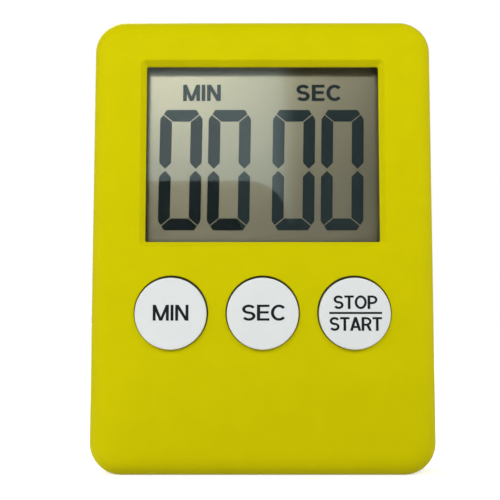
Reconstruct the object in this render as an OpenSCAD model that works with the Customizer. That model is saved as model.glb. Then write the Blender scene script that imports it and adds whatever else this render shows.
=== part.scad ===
// Slim digital countdown timer with a segment display, three push buttons,
// a fold-out stand, two magnets and a coin cell behind a twist-lock door.
// Every piece is drawn lying on its back: x to the right, y up the face and z from
// the rear plane to the face. stand_up() then sets it on its bottom edge,
// with the face towards -Y.

/* [Case] */
// Width of the case
case_w = 60; // [58:0.5:75]
// Height of the case
case_h = 80; // [78:0.5:100]
// Thickness from the rear plane to the face
case_t = 11; // [10.6:0.1:14]
// Corner radius of the outline
corner_r = 5.5; // [5:0.25:8]
// Thickness of the side walls
wall = 1.5; // [1.2:0.1:1.7]
// Thickness of the front wall
front_wall = 1.5; // [1.2:0.1:1.8]
// Rounding of the front edge
front_round = 3; // [1.5:0.25:3.5]
// Rounding of the rear edge
rear_round = 1; // [0.4:0.1:1.4]
// Height of the rear cover's rim, where the case parts
split_z = 2.4; // [2.2:0.1:2.8]
// Thickness of the rear cover's floor
cover_floor = 1.4; // [1:0.1:1.6]
// Height of the lip that enters the front case
lip_h = 1.2; // [0.8:0.1:1.4]
// Thickness of that lip
lip_t = 0.8; // [0.6:0.1:1]
// Clearance around the lip
lip_fit = 0.15; // [0.1:0.05:0.25]

/* [Display] */
// Width of the window opening
window_w = 41.1; // [36:0.1:41.5]
// Height of the window opening
window_h = 31.3; // [28:0.1:32]
// Distance from the window opening to the top of the case
window_top = 8.5; // [8.2:0.1:14]
// Corner radius of the window opening
window_corner_r = 0.35; // [0.2:0.05:1]
// Width of the bevel around the window
bevel_w = 1.35; // [0.6:0.05:2]
// Depth of that bevel
bevel_depth = 0.9; // [0.3:0.1:1]
// Overlap of the lens behind the front wall
lens_lap = 1.6; // [1:0.1:1.7]
// Thickness of the lens
lens_t = 1; // [0.6:0.1:1.2]
// Gap between the lens and the display
lens_gap = 0.2; // [0.1:0.05:0.4]
// Thickness of each polariser
polariser_t = 0.2; // [0.15:0.05:0.3]
// Thickness of each display glass
glass_t = 0.7; // [0.5:0.05:0.8]
// Thickness of the liquid crystal layer and its seal
crystal_t = 0.1; // [0.05:0.05:0.2]
// Width of the seal around the liquid crystal
seal_w = 0.8; // [0.5:0.1:1]
// Height of the glass that reaches below the window
glass_foot = 3.2; // [3:0.1:3.4]
// Width of the contact strip's land on the front glass
contact_land = 1.6; // [1.4:0.1:1.8]
// Thickness of the frame's ledge under the display
ledge_t = 0.45; // [0.3:0.05:0.6]
// Thickness of the display frame's walls
frame_wall = 1; // [0.8:0.1:1.2]
// Clearance between the frame and what it holds
frame_fit = 0.15; // [0.1:0.05:0.2]

/* [Digits] */
// Width of one digit
digit_w = 7.4; // [6:0.1:7.8]
// Height of one digit
digit_h = 21.6; // [16:0.2:23]
// Distance between the digits of a pair
digit_pitch = 8.65; // [8:0.05:9]
// Distance between the left edges of the two pairs
pair_pitch = 20.2; // [18.5:0.1:20.6]
// Width of a lit segment
segment_w = 1.95; // [1.2:0.05:2.2]
// Gap between two segments
segment_gap = 0.2; // [0.1:0.05:0.4]
// Chamfer at a digit's corners
digit_chamfer = 1.28; // [0.6:0.02:1.6]
// Height of the digits' middle above the window's lower edge
digit_rise = 12.9; // [11.8:0.1:13.5]

/* [Buttons] */
// Diameter of a button cap
cap_d = 12.4; // [9:0.2:12.8]
// Distance between neighbouring buttons
button_pitch = 15.8; // [15.6:0.05:17]
// Distance from the window opening down to the buttons' centres
button_drop = 12.3; // [12:0.1:16]
// Height of a cap above the face
cap_proud = 0.9; // [0.5:0.1:1.5]
// Clearance around a cap in its hole
cap_gap = 0.3; // [0.2:0.05:0.4]
// Rounding of a cap's edge
cap_round = 0.45; // [0.2:0.05:0.8]
// Thickness of a cap's roof and skirt
cap_wall = 1; // [0.8:0.1:1.4]
// Overlap of a cap's flange behind the front wall
flange_lap = 0.7; // [0.5:0.1:0.8]
// Thickness of that flange
flange_t = 0.7; // [0.5:0.1:0.8]
// Travel of a button
button_travel = 0.8; // [0.4:0.1:1]
// Radius of a cap's plunger
plunger_r = 2.4; // [1.5:0.1:2.8]
// Thickness of the rubber keypad
keypad_t = 0.6; // [0.4:0.1:0.8]
// Radius of a rubber dome at its foot
dome_r = 5.4; // [4.6:0.1:5.8]
// Thickness of a dome's roof
dome_roof = 0.5; // [0.4:0.1:0.8]
// Radius of a contact pill
pill_r = 2.3; // [1.5:0.1:2.6]
// Thickness of a contact pill
pill_t = 0.4; // [0.3:0.05:0.6]

/* [Board] */
// Thickness of the circuit board
board_t = 1; // [0.8:0.1:1.2]
// Clearance between the board and the case walls
board_gap = 0.5; // [0.3:0.1:0.6]
// Board below the centres of its lowest screws
board_skirt = 1.8; // [1.6:0.1:4]
// Radius of the bosses that take the board screws
board_boss_r = 1.5; // [1.2:0.1:1.6]
// Radius of a board screw's shank
board_screw_r = 0.7; // [0.5:0.05:0.8]
// Length of a board screw under its head
board_screw_l = 3; // [2.4:0.1:3.2]

/* [Power] */
// Diameter of the coin cell
coin_d = 20; // [16:0.5:20]
// Thickness of the coin cell
coin_t = 3.2; // [2:0.1:3.2]
// Thickness of the battery door
door_t = 1; // [0.8:0.1:1.1]
// Radius added to the coin for the door's disc
door_lap = 2; // [1.9:0.1:2.2]
// Turn of the door from locked to open
door_turn = 50; // [40:1:55]
// Width of a door lug, as an angle
lug_angle = 24; // [16:1:28]
// Thickness of a door lug
lug_t = 0.5; // [0.4:0.05:0.6]
// Thickness of the contact springs
leaf_t = 0.2; // [0.15:0.05:0.2]

/* [Stand and magnets] */
// Width of the stand
stand_w = 22; // [16:0.5:23]
// Thickness of the stand
stand_t = 1.8; // [1.4:0.1:1.8]
// Height of the stand's tip above the bottom edge
stand_tip = 5; // [4.5:0.5:12]
// Distance from the door's centre down to the stand's hinge
hinge_drop = 17; // [17:0.5:22]
// Opening angle of the stand
stand_open = 44; // [35:1:48]
// Length of the heel above the hinge, which stops the stand
heel_l = 1.5; // [1.2:0.1:1.6]
// Radius of a hinge pin
pin_r = 0.6; // [0.4:0.05:0.65]
// Length of a hinge pin
pin_l = 1.1; // [0.8:0.1:1.3]
// Radius of a magnet
magnet_r = 4.5; // [3:0.25:5]
// Thickness of a magnet
magnet_t = 1.6; // [1:0.1:1.6]

/* [Buzzer] */
// Radius of the buzzer's brass disc
piezo_r = 5.7; // [5:0.1:6.4]
// Thickness of the brass disc
piezo_t = 0.2; // [0.15:0.05:0.3]
// Radius of the ceramic on the disc
ceramic_r = 4; // [3.4:0.1:4.6]
// Radius of a sound hole
sound_hole_r = 0.55; // [0.3:0.05:0.7]
// Radius of a buzzer wire
wire_r = 0.3; // [0.2:0.05:0.35]

/* [Hidden] */
$fn = 48;

case_colour = [0.82, 0.80, 0.02];
cap_colour = [0.88, 0.89, 0.90];
eps = 0.02;           // overlap that joins two shapes of one piece
cut = 1;              // overshoot of a cutting shape
slide_gap = 0.05;     // clearance of flat faces that slide or are lifted out
part_gap = 0.3;       // clearance between pieces that only lie near each other

// Heights of the stack behind the face
face_inner = case_t - front_wall;
lens_z = face_inner - lens_t;
front_polariser_z = lens_z - lens_gap - polariser_t;
front_glass_z = front_polariser_z - glass_t;
crystal_z = front_glass_z - crystal_t;
rear_glass_z = crystal_z - glass_t;
rear_polariser_z = rear_glass_z - polariser_t;
board_front = rear_polariser_z - ledge_t;
board_back = board_front - board_t;

// Places on the face
window_y1 = case_h - window_top;
window_y0 = window_y1 - window_h;
button_y = window_y0 - button_drop;
button_x = [-button_pitch, 0, button_pitch];

// Lens and display glass
lens_w = window_w + 2 * lens_lap;
lens_y0 = window_y0 - glass_foot;
lens_h = window_y1 + lens_lap - lens_y0;
glass_inset = 0.1;
glass_w = lens_w - 2 * glass_inset;
glass_y0 = lens_y0 + glass_inset;
glass_y1 = lens_y0 + lens_h - glass_inset;
rear_glass_y0 = glass_y0 + contact_land;
film_inset = 0.5;     // how far the polarisers stop inside the glass
ledge_w = 1.2;        // how far the frame's ledge reaches under the display
digit_y = window_y0 + digit_rise;
digit_x0 = -(pair_pitch + digit_pitch + digit_w) / 2;

// Buttons and keypad
cap_r = cap_d / 2;
flange_r = cap_r + cap_gap + flange_lap;
flange_z1 = face_inner - 2 * slide_gap;
flange_z0 = flange_z1 - flange_t;
cap_front = case_t + cap_proud;
pill_z = board_front + button_travel + slide_gap;
dome_roof_z = pill_z + pill_t;
dome_top = dome_roof_z + dome_roof;
dome_top_r = min(3.2, dome_r - 1.6);
key_flat = flange_r - 0.7;              // flat on a flange that stops it turning
key_rib_t = 0.8;
key_rib_w = 5;
keypad_rib_t = 0.8;
keypad_half_h = flange_r + 0.2;

// Board and its screws
inner_w = case_w - 2 * wall;
inner_y1 = case_h - wall;
frame_out = frame_fit + frame_wall;     // from the lens's edge to the outside of its frame
board_w = inner_w - 2 * board_gap;
keypad_w = board_w - 1;
board_screw_low = button_y - keypad_half_h - part_gap - board_boss_r;
board_screw_high = (lens_y0 + lens_h + frame_out + inner_y1) / 2;
board_y0 = board_screw_low - board_skirt;
board_y1 = inner_y1 - board_gap;
low_screw_x = inner_w / 2 - board_boss_r - part_gap;
board_screw_places = concat(
    [for (sx = [-1, 1], x = [button_pitch / 2, low_screw_x]) [sx * x, board_screw_low]],
    [for (sx = [-1, 1]) [sx * button_pitch, board_screw_high]]
);
board_head_r = 1.4;
board_head_t = 0.9;

// Case screws
screw_boss_r = 2;
screw_boss_sink = 0.4;  // how far a screw boss runs into the corner's wall
screw_inset = corner_r - (corner_r - wall - screw_boss_r + screw_boss_sink) / sqrt(2);
screw_places = [
    for (sx = [-1, 1], y = [screw_inset, case_h - screw_inset])
    [sx * (case_w / 2 - screw_inset), y]
];
screw_head_r = 1.7;
screw_head_t = 0.9;
screw_seat = 1.3;     // depth of the counterbore under a screw head
screw_shank_r = 0.8;
screw_l = 5.6;
pilot_gap = 0.05;     // radial gap between a shank and its pilot hole

// Coin cell and door
door_drop = 11.5;     // from the window's upper edge down to the door's centre
door_y = window_y1 - door_drop;
coin_r = coin_d / 2;
door_r = coin_r + door_lap;
door_fit = 0.2;
hub_r0 = coin_r + door_fit;
hub_r1 = hub_r0 + 0.6;
lip_inner_r = hub_r1 + 0.15;
door_seat_r = door_r + door_fit;
lug_r = door_r - 0.1;
cover_lip_z0 = door_t + slide_gap;
cover_lip_z1 = cover_lip_z0 + 0.75;
lug_z0 = cover_lip_z1 + 0.1;
lug_z1 = lug_z0 + lug_t;
cup_inner_r = door_r + 0.1;
cup_r = cup_inner_r + 0.9;
cup_z1 = board_back - 0.1;
coin_z = door_t + slide_gap;
lug_turns = [0, 120, 240];
cup_rib_turns = [60, 180, 300];
cup_rib_z = lug_z1 + 0.1;

// Stand
stand_z = 0.1;
hinge_z = stand_z + stand_t / 2;
hinge_y = door_y - hinge_drop;
heel_reach = norm([heel_l, stand_t / 2]);
heel_angle = atan2(stand_t / 2, heel_l) + stand_open;
recess_z = stand_z + stand_t + 0.1;
recess_w = stand_w + 2 * part_gap;
recess_floor = 1;
hinge_pocket_z = hinge_z + heel_reach * sin(min(90, heel_angle)) + 0.03;
hinge_pocket_y0 = hinge_y - stand_t / 2;
hinge_pocket_y1 = hinge_y + heel_reach + 0.15;
stand_side = 1.6;     // wall beside the recess that holds the hinge pins
hinge_floor = 0.8;    // floor under the hinge pocket
stand_block_w = recess_w + 2 * stand_side;
stand_block_y1 = hinge_pocket_y1 + 1;
hinge_block_y0 = hinge_pocket_y0 - recess_floor;
scoop_r = 4.5;

// Bays beside the stand and the battery cup
lip_inner_x = inner_w / 2 - lip_fit - lip_t;
bay_x = (stand_block_w / 2 + lip_inner_x) / 2;
piezo_x = -bay_x;
piezo_drop = 4;       // from the buttons' centres down to the buzzer
piezo_y = button_y - piezo_drop;
piezo_z = cover_floor + 1;
ceramic_t = 0.2;
ceramic_z = piezo_z + piezo_t;
magnet_x = (cup_r + lip_inner_x) / 2;
magnet_z = 0.1;
magnet_fit = 0.05;
magnet_pad_z = magnet_z + magnet_t + 0.9;

// The part stands with its depth centred on the origin
rear_y = cap_front / 2;

module stand_up() translate([0, rear_y, 0]) rotate([90, 0, 0]) children();

// Post with a rounded lower and upper edge, turned about the z axis
module corner_post(r, z0, z1, f0, f1) {
    steps = 6;
    rotate_extrude($fn = 32) polygon(concat(
        [[0, z0]],
        f0 > 0
            ? [for (i = [0:steps]) let(a = 90 * i / steps) [r - f0 + f0 * sin(a), z0 + f0 - f0 * cos(a)]]
            : [[r, z0]],
        f1 > 0
            ? [for (i = [0:steps]) let(a = 90 * i / steps) [r - f1 + f1 * cos(a), z1 - f1 + f1 * sin(a)]]
            : [[r, z1]],
        [[0, z1]]
    ));
}

// Rounded slab of the case's outline, set in by a wall on every side
module case_slab(inset, z0, z1, f0 = 0, f1 = 0) {
    r = corner_r - inset;
    hull() for (sx = [-1, 1], y = [corner_r, case_h - corner_r])
        translate([sx * (case_w / 2 - corner_r), y, 0]) corner_post(r, z0, z1, f0, f1);
}

// Plate centred on x, from y0 upwards
module plate(w, y0, h, z0, t) translate([-w / 2, y0, z0]) cube([w, h, t]);

module window_cut() {
    r = window_corner_r;
    hull() for (sx = [-1, 1], y = [window_y0 + r, window_y1 - r])
        translate([sx * (window_w / 2 - r), y, face_inner - cut])
            cylinder(r = r, h = front_wall + 2 * cut, $fn = 24);
}

// The bevel's cutter keeps its slope above the face
module bevel_cut() {
    r0 = window_corner_r;
    r1 = 1;
    over = 0.3;
    w1 = bevel_w * (1 + over / bevel_depth);
    hull() for (sx = [-1, 1], sy = [0, 1]) {
        translate([sx * (window_w / 2 - r0), sy == 0 ? window_y0 + r0 : window_y1 - r0, case_t - bevel_depth])
            cylinder(r = r0, h = eps, $fn = 24);
        translate([sx * (window_w / 2 + w1 - r1), sy == 0 ? window_y0 - w1 + r1 : window_y1 + w1 - r1,
                   case_t + over])
            cylinder(r = r1, h = eps, $fn = 24);
    }
}

module keypad_ribs() {
    z0 = board_front + keypad_t;
    for (x = [-0.5, 0.5] * button_pitch)
        translate([x - keypad_rib_t / 2, button_y - flange_r + 1, z0])
            cube([keypad_rib_t, 2 * flange_r - 2, face_inner - z0 + eps]);
    key_z0 = flange_z0 - button_travel;
    for (x = button_x)
        translate([x - key_rib_w / 2, button_y - key_flat - part_gap - key_rib_t, key_z0])
            cube([key_rib_w, key_rib_t, face_inner - key_z0 + eps]);
}

module front_case() {
    color(case_colour) stand_up() difference() {
        union() {
            difference() {
                case_slab(0, split_z, case_t, 0, front_round);
                case_slab(wall, split_z - cut, face_inner, 0, max(0.3, front_round - wall));
            }
            for (p = screw_places)
                translate([p[0], p[1], split_z]) cylinder(r = screw_boss_r, h = face_inner - split_z + eps);
            for (p = board_screw_places)
                translate([p[0], p[1], board_front])
                    cylinder(r = board_boss_r, h = face_inner - board_front + eps);
            keypad_ribs();
        }
        window_cut();
        bevel_cut();
        for (x = button_x)
            translate([x, button_y, face_inner - cut])
                cylinder(r = cap_r + cap_gap, h = front_wall + 2 * cut);
        for (p = screw_places)
            translate([p[0], p[1], split_z - cut])
                cylinder(r = screw_shank_r + pilot_gap, h = screw_seat + screw_l - split_z + cut + part_gap);
        for (p = board_screw_places)
            translate([p[0], p[1], board_front - cut])
                cylinder(r = board_screw_r + pilot_gap, h = board_screw_l - board_t + cut + part_gap);
    }
}

// Ring sector between two radii, centred on an angle
module sector(r0, r1, z0, z1, turn, angle) {
    rotate([0, 0, turn - angle / 2]) rotate_extrude(angle = angle)
        translate([r0, z0]) square([r1 - r0, z1 - z0]);
}

module cover_shell() {
    rim = wall + lip_fit + lip_t;
    difference() {
        case_slab(0, 0, split_z, rear_round, 0);
        case_slab(rim, cover_floor, split_z + cut);
    }
    difference() {
        case_slab(wall + lip_fit, split_z - eps, split_z + lip_h);
        case_slab(rim, split_z - cut, split_z + lip_h + cut);
        for (p = screw_places)
            translate([p[0], p[1], split_z]) cylinder(r = screw_boss_r + part_gap, h = lip_h + cut);
    }
}

module cover_mouldings() {
    for (p = screw_places)
        translate([p[0], p[1], rear_round]) cylinder(r = screw_boss_r, h = split_z - rear_round);
    translate([0, door_y, cover_floor - eps]) cylinder(r = cup_r, h = cup_z1 - cover_floor + eps);
    plate(stand_block_w, wall, stand_block_y1 - wall, cover_floor - eps,
          recess_z + recess_floor - cover_floor + eps);
    plate(stand_block_w, hinge_block_y0, stand_block_y1 - hinge_block_y0, cover_floor - eps,
          hinge_pocket_z + hinge_floor - cover_floor + eps);
    for (sx = [-1, 1])
        translate([sx * magnet_x, door_y, cover_floor - eps])
            cylinder(r = magnet_r + 1, h = magnet_pad_z - cover_floor + eps);
    translate([piezo_x, piezo_y, cover_floor - eps])
        cylinder(r = piezo_r - 0.3, h = piezo_z - cover_floor + eps);
}

module cover_cuts() {
    translate([0, door_y, -cut]) cylinder(r = door_seat_r, h = cover_lip_z0 + cut);
    translate([0, door_y, 0]) cylinder(r = lip_inner_r, h = board_front);
    translate([0, door_y, cover_lip_z1]) cylinder(r = cup_inner_r, h = board_front);
    for (a = lug_turns)
        translate([0, door_y, 0])
            sector(lip_inner_r - 0.2, lug_r + 0.1, cover_lip_z0 - 0.2, cover_lip_z1 + 0.2,
                   a - door_turn, lug_angle + 4);
    plate(recess_w, stand_tip - part_gap, hinge_pocket_y1 - stand_tip + part_gap, -cut, recess_z + cut);
    plate(recess_w, hinge_pocket_y0, hinge_pocket_y1 - hinge_pocket_y0, 0, hinge_pocket_z);
    translate([-stand_w / 2 - pin_l - 0.15, hinge_y, hinge_z]) rotate([0, 90, 0])
        cylinder(r = pin_r + 0.05, h = stand_w + 2 * pin_l + 0.3);
    translate([0, stand_tip + 0.7, -cut]) cylinder(r = scoop_r, h = 1.3 + cut);
    for (sx = [-1, 1])
        translate([sx * magnet_x, door_y, -cut])
            cylinder(r = magnet_r + magnet_fit, h = magnet_z + magnet_t + cut);
    for (p = screw_places) translate([p[0], p[1], -cut]) {
        cylinder(r = screw_head_r + 0.2, h = screw_seat + cut);
        cylinder(r = screw_shank_r + 0.2, h = split_z + 2 * cut);
    }
    translate([piezo_x, piezo_y, cover_floor]) cylinder(r = piezo_r - 1.3, h = cut + piezo_z);
    translate([piezo_x, piezo_y, -cut]) {
        cylinder(r = sound_hole_r, h = cover_floor + 2 * cut);
        for (a = [0:60:300]) rotate([0, 0, a]) translate([2.4, 0, 0])
            cylinder(r = sound_hole_r, h = cover_floor + 2 * cut);
    }
}

module rear_cover() {
    color(case_colour) stand_up() {
        difference() {
            union() {
                cover_shell();
                cover_mouldings();
            }
            cover_cuts();
        }
        // Ribs that centre the coin cell in its cup
        for (a = cup_rib_turns) translate([0, door_y, 0]) rotate([0, 0, a])
            translate([coin_r + door_fit, -0.5, cup_rib_z])
                cube([cup_inner_r - coin_r - door_fit + 0.3, 1, cup_z1 - 0.3 - cup_rib_z]);
    }
}

// Pan head screw that enters from the rear, with a cross recess
module screw(head_r, head_t, shank_r, shank_l) {
    difference() {
        union() {
            translate([0, 0, -head_t]) cylinder(r = head_r, h = head_t);
            cylinder(r = shank_r, h = shank_l);
        }
        for (a = [0, 90]) rotate([0, 0, a])
            translate([-0.75 * head_r, -0.2, -head_t - cut]) cube([1.5 * head_r, 0.4, 0.5 * head_t + cut]);
    }
}

module case_screws() {
    color([0.75, 0.76, 0.78]) stand_up() for (p = screw_places)
        translate([p[0], p[1], screw_seat]) screw(screw_head_r, screw_head_t, screw_shank_r, screw_l);
}

module board_screws() {
    color([0.75, 0.76, 0.78]) stand_up() for (p = board_screw_places)
        translate([p[0], p[1], board_back]) screw(board_head_r, board_head_t, board_screw_r, board_screw_l);
}

module window_lens() {
    color([0.85, 0.9, 0.92, 0.35]) stand_up() plate(lens_w, lens_y0, lens_h, lens_z, lens_t);
}

module display_frame() {
    pocket_w = lens_w + 2 * frame_fit;
    pocket_y0 = lens_y0 - frame_fit;
    pocket_h = lens_h + 2 * frame_fit;
    color([0.93, 0.93, 0.9]) stand_up() difference() {
        hull() for (sx = [-1, 1], y = [pocket_y0, pocket_y0 + pocket_h])
            translate([sx * pocket_w / 2, y, board_front])
                cylinder(r = frame_wall, h = face_inner - board_front, $fn = 32);
        plate(pocket_w, pocket_y0, pocket_h, board_front + ledge_t, face_inner);
        plate(pocket_w - 2 * ledge_w, pocket_y0, pocket_h - ledge_w, board_front - cut, ledge_t + 2 * cut);
    }
}

module front_polariser() {
    color([0.5, 0.55, 0.5, 0.5]) stand_up()
        plate(glass_w - 2 * film_inset, glass_y0 + film_inset, glass_y1 - glass_y0 - 2 * film_inset,
              front_polariser_z, polariser_t);
}

module front_glass() {
    color([0.8, 0.88, 0.85, 0.4]) stand_up()
        plate(glass_w, glass_y0, glass_y1 - glass_y0, front_glass_z, glass_t);
}

module rear_glass() {
    color([0.8, 0.88, 0.85, 0.4]) stand_up()
        plate(glass_w, rear_glass_y0, glass_y1 - rear_glass_y0, rear_glass_z, glass_t);
}

module rear_polariser() {
    color([0.66, 0.66, 0.56]) stand_up()
        plate(glass_w - 2 * film_inset, rear_glass_y0 + film_inset, glass_y1 - rear_glass_y0 - 2 * film_inset,
              rear_polariser_z, polariser_t);
}

module display_seal() {
    color([0.3, 0.32, 0.3]) stand_up() difference() {
        plate(glass_w, rear_glass_y0, glass_y1 - rear_glass_y0, crystal_z, crystal_t);
        plate(glass_w - 2 * seal_w, rear_glass_y0 + seal_w, glass_y1 - rear_glass_y0 - 2 * seal_w,
              crystal_z - cut, crystal_t + 2 * cut);
    }
}

// Outline of one segment of the digit's corner run, in the quarter where x and y
// count inwards from the corner. The end at the corner is cut along the diagonal.
function corner_end(w, gap, chamfer) = let(g = gap / sqrt(2)) [
    [(chamfer + g) / 2, (chamfer - g) / 2], [chamfer, 0], [0, w], [w + g, w]
];

// Bar along x at the top or bottom of a digit
module end_bar() {
    e = corner_end(segment_w, segment_gap, digit_chamfer);
    polygon([
        e[0], e[1], [digit_w - e[1][0], 0], [digit_w - e[0][0], e[0][1]],
        [digit_w - e[3][0], e[3][1]], e[3]
    ]);
}

// Upright bar from a digit's corner to its point at the middle
module side_bar() {
    e = corner_end(segment_w, segment_gap, digit_chamfer);
    tip = digit_h / 2 - segment_gap;
    shoulder = tip - segment_w / 2;
    polygon([
        [e[0][1], e[0][0]], [0, e[1][0]], [0, shoulder], [segment_w / 2, tip],
        [segment_w, shoulder], [segment_w, e[3][0]]
    ]);
}

module zero_digit() {
    for (my = [0, 1]) mirror([0, my, 0]) translate([0, -digit_h / 2]) {
        end_bar();
        side_bar();
        translate([digit_w, 0]) mirror([1, 0, 0]) side_bar();
    }
}

module digit_segments() {
    color([0.14, 0.18, 0.19]) stand_up() for (pair = [0, 1], place = [0, 1])
        translate([digit_x0 + pair * pair_pitch + place * digit_pitch, digit_y, crystal_z])
            linear_extrude(crystal_t) zero_digit();
}

module contact_strip() {
    strip_w = contact_land - 0.3;
    color([0.85, 0.45, 0.5]) stand_up()
        plate(glass_w - 2 * ledge_w - 1, glass_y0 + 0.15, strip_w, board_front, front_glass_z - board_front);
}

module circuit_board() {
    color([0.1, 0.42, 0.2]) stand_up() difference() {
        plate(board_w, board_y0, board_y1 - board_y0, board_back, board_t);
        for (p = screw_places)
            translate([p[0], p[1], board_back - cut])
                cylinder(r = screw_boss_r + board_gap, h = board_t + 2 * cut);
        for (sx = [-1, 1]) translate([sx * case_w / 2, case_h, board_back - cut])
            cylinder(r = screw_inset, h = board_t + 2 * cut);
        for (p = board_screw_places)
            translate([p[0], p[1], board_back - cut])
                cylinder(r = board_screw_r + 0.1, h = board_t + 2 * cut);
    }
}

// Pieces soldered to the rear of the board
part_rise = 7;        // from the buttons' centres up to the chip
part_pitch = 2.2;     // between the small parts of a column
transistor_rise = 5;
chip_x = 3;
resistor_offset = 2.6;
capacitor_offset = 4;
chip_place = [chip_x, button_y + part_rise];
crystal_place = [bay_x, button_y + part_rise];
coil_place = [bay_x, piezo_y];
transistor_place = [bay_x, piezo_y + transistor_rise];
capacitor_places = [for (i = [0:4])
    [-stand_block_w / 2 - capacitor_offset, button_y + part_rise + part_pitch * i]];
resistor_places = [for (i = [0:3])
    [stand_block_w / 2 + resistor_offset, button_y + part_rise + part_pitch * i]];

module chip_blob() {
    blob_r = 4;
    blob_h = 1.1;
    ball_r = (blob_r * blob_r + blob_h * blob_h) / (2 * blob_h);
    color([0.06, 0.06, 0.07]) stand_up() translate([chip_place[0], chip_place[1], board_back]) intersection() {
        translate([0, 0, ball_r - blob_h]) sphere(r = ball_r, $fn = 96);
        translate([0, 0, -blob_h]) cylinder(r = blob_r + cut, h = blob_h);
    }
}

module quartz_crystal() {
    can_r = 1;
    can_l = 6;
    lead_w = 0.3;
    color([0.78, 0.79, 0.8]) stand_up() translate([crystal_place[0], crystal_place[1], board_back - can_r]) {
        rotate([-90, 0, 0]) cylinder(r = can_r, h = can_l);
        for (sx = [-1, 1]) translate([sx * 0.4 - lead_w / 2, 0, 0]) {
            translate([0, -1, -lead_w / 2]) cube([lead_w, 1 + eps, lead_w]);
            translate([0, -1, -lead_w / 2]) cube([lead_w, lead_w, can_r + lead_w / 2]);
        }
    }
}

// Small block that lies on the rear of the board
chip_l = 1.6;
chip_w = 0.8;
module chip_block(place, height) {
    translate([place[0] - chip_l / 2, place[1] - chip_w / 2, board_back - height])
        cube([chip_l, chip_w, height]);
}

module chip_capacitors() {
    height = 0.8;
    color([0.72, 0.6, 0.45]) stand_up() for (p = capacitor_places) chip_block(p, height);
}

module chip_resistors() {
    height = 0.45;
    color([0.1, 0.1, 0.11]) stand_up() for (p = resistor_places) chip_block(p, height);
}

module boost_coil() {
    flange = 2.2;
    core = 1.5;
    height = 2.4;
    rim = 0.5;
    color([0.2, 0.2, 0.22]) stand_up() translate([coil_place[0], coil_place[1], board_back - height])
        rotate_extrude() polygon([
            [0, 0], [flange, 0], [flange, rim], [core, rim], [core, height - rim],
            [flange, height - rim], [flange, height], [0, height]
        ]);
}

module boost_transistor() {
    body = [2.9, 1.3, 0.9];
    leg = [0.4, 0.55, 0.15];
    stand_off = 0.1;
    color([0.09, 0.09, 0.1]) stand_up()
        translate([transistor_place[0], transistor_place[1], board_back - body[2] - stand_off]) {
            translate([-body[0] / 2, -body[1] / 2, 0]) cube(body);
            for (x = [-0.95, 0.95]) translate([x - leg[0] / 2, body[1] / 2 - eps, body[2] + stand_off - leg[2]])
                cube(leg);
            for (x = [-0.95, 0.95]) translate([x - leg[0] / 2, body[1] / 2 - eps, body[2] / 2])
                cube([leg[0], leg[2], body[2] / 2 + stand_off]);
            translate([-leg[0] / 2, -body[1] / 2 - leg[1] + eps, body[2] + stand_off - leg[2]]) cube(leg);
            translate([-leg[0] / 2, -body[1] / 2 - leg[2] + eps, body[2] / 2])
                cube([leg[0], leg[2], body[2] / 2 + stand_off]);
        }
}

module keypad_sheet() {
    color([0.75, 0.76, 0.78]) stand_up() difference() {
        plate(keypad_w, button_y - keypad_half_h, 2 * keypad_half_h, board_front, keypad_t);
        for (x = button_x)
            translate([x, button_y, board_front - cut])
                cylinder(r = dome_r + slide_gap, h = keypad_t + 2 * cut);
    }
}

// Rubber dome that carries a cap and collapses when it is pressed
module dome(x) {
    foot = 1.2;
    web = 0.45;
    color([0.78, 0.79, 0.8]) stand_up() translate([x, button_y, 0]) rotate_extrude() polygon([
        [dome_r - foot, board_front], [dome_r, board_front], [dome_r, board_front + keypad_t],
        [dome_r - foot + web, board_front + keypad_t], [dome_top_r, dome_roof_z], [dome_top_r, dome_top],
        [0, dome_top], [0, dome_roof_z], [dome_top_r - web, dome_roof_z],
        [dome_r - foot, board_front + keypad_t / 2]
    ]);
}

module min_dome() dome(button_x[0]);
module sec_dome() dome(button_x[1]);
module start_stop_dome() dome(button_x[2]);

module contact_pill(x) {
    color([0.08, 0.08, 0.08]) stand_up() translate([x, button_y, pill_z]) cylinder(r = pill_r, h = pill_t);
}

module min_contact_pill() contact_pill(button_x[0]);
module sec_contact_pill() contact_pill(button_x[1]);
module start_stop_contact_pill() contact_pill(button_x[2]);

// Round cap with a skirt, a retaining flange with one flat, and a plunger
module button_cap(x) {
    steps = 5;
    roof_z = cap_front - cap_wall;
    color(cap_colour) stand_up() translate([x, button_y, 0]) difference() {
        rotate_extrude($fn = 64) polygon(concat(
            [
                [0, dome_top], [plunger_r, dome_top], [plunger_r, roof_z], [cap_r - cap_wall, roof_z],
                [cap_r - cap_wall, flange_z0], [flange_r, flange_z0], [flange_r, flange_z1], [cap_r, flange_z1]
            ],
            [for (i = [0:steps]) let(a = 90 * i / steps)
                [cap_r - cap_round + cap_round * cos(a), cap_front - cap_round + cap_round * sin(a)]],
            [[0, cap_front]]
        ));
        translate([-flange_r, -key_flat - flange_r, flange_z0 - cut])
            cube([2 * flange_r, flange_r, flange_t + cut + slide_gap]);
    }
}

module min_button() button_cap(button_x[0]);
module sec_button() button_cap(button_x[1]);
module start_stop_button() button_cap(button_x[2]);

// Coin cell: the can faces the door and its narrower lid faces the board
module coin_cell() {
    lid_r = coin_r - 1.2;
    lid_h = 0.3;
    edge = 0.3;
    color([0.78, 0.79, 0.8]) stand_up() translate([0, door_y, coin_z]) rotate_extrude($fn = 72) polygon([
        [0, 0], [coin_r - edge, 0], [coin_r, edge], [coin_r, coin_t - lid_h - edge],
        [coin_r - edge, coin_t - lid_h], [lid_r, coin_t - lid_h], [lid_r, coin_t], [0, coin_t]
    ]);
}

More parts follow.
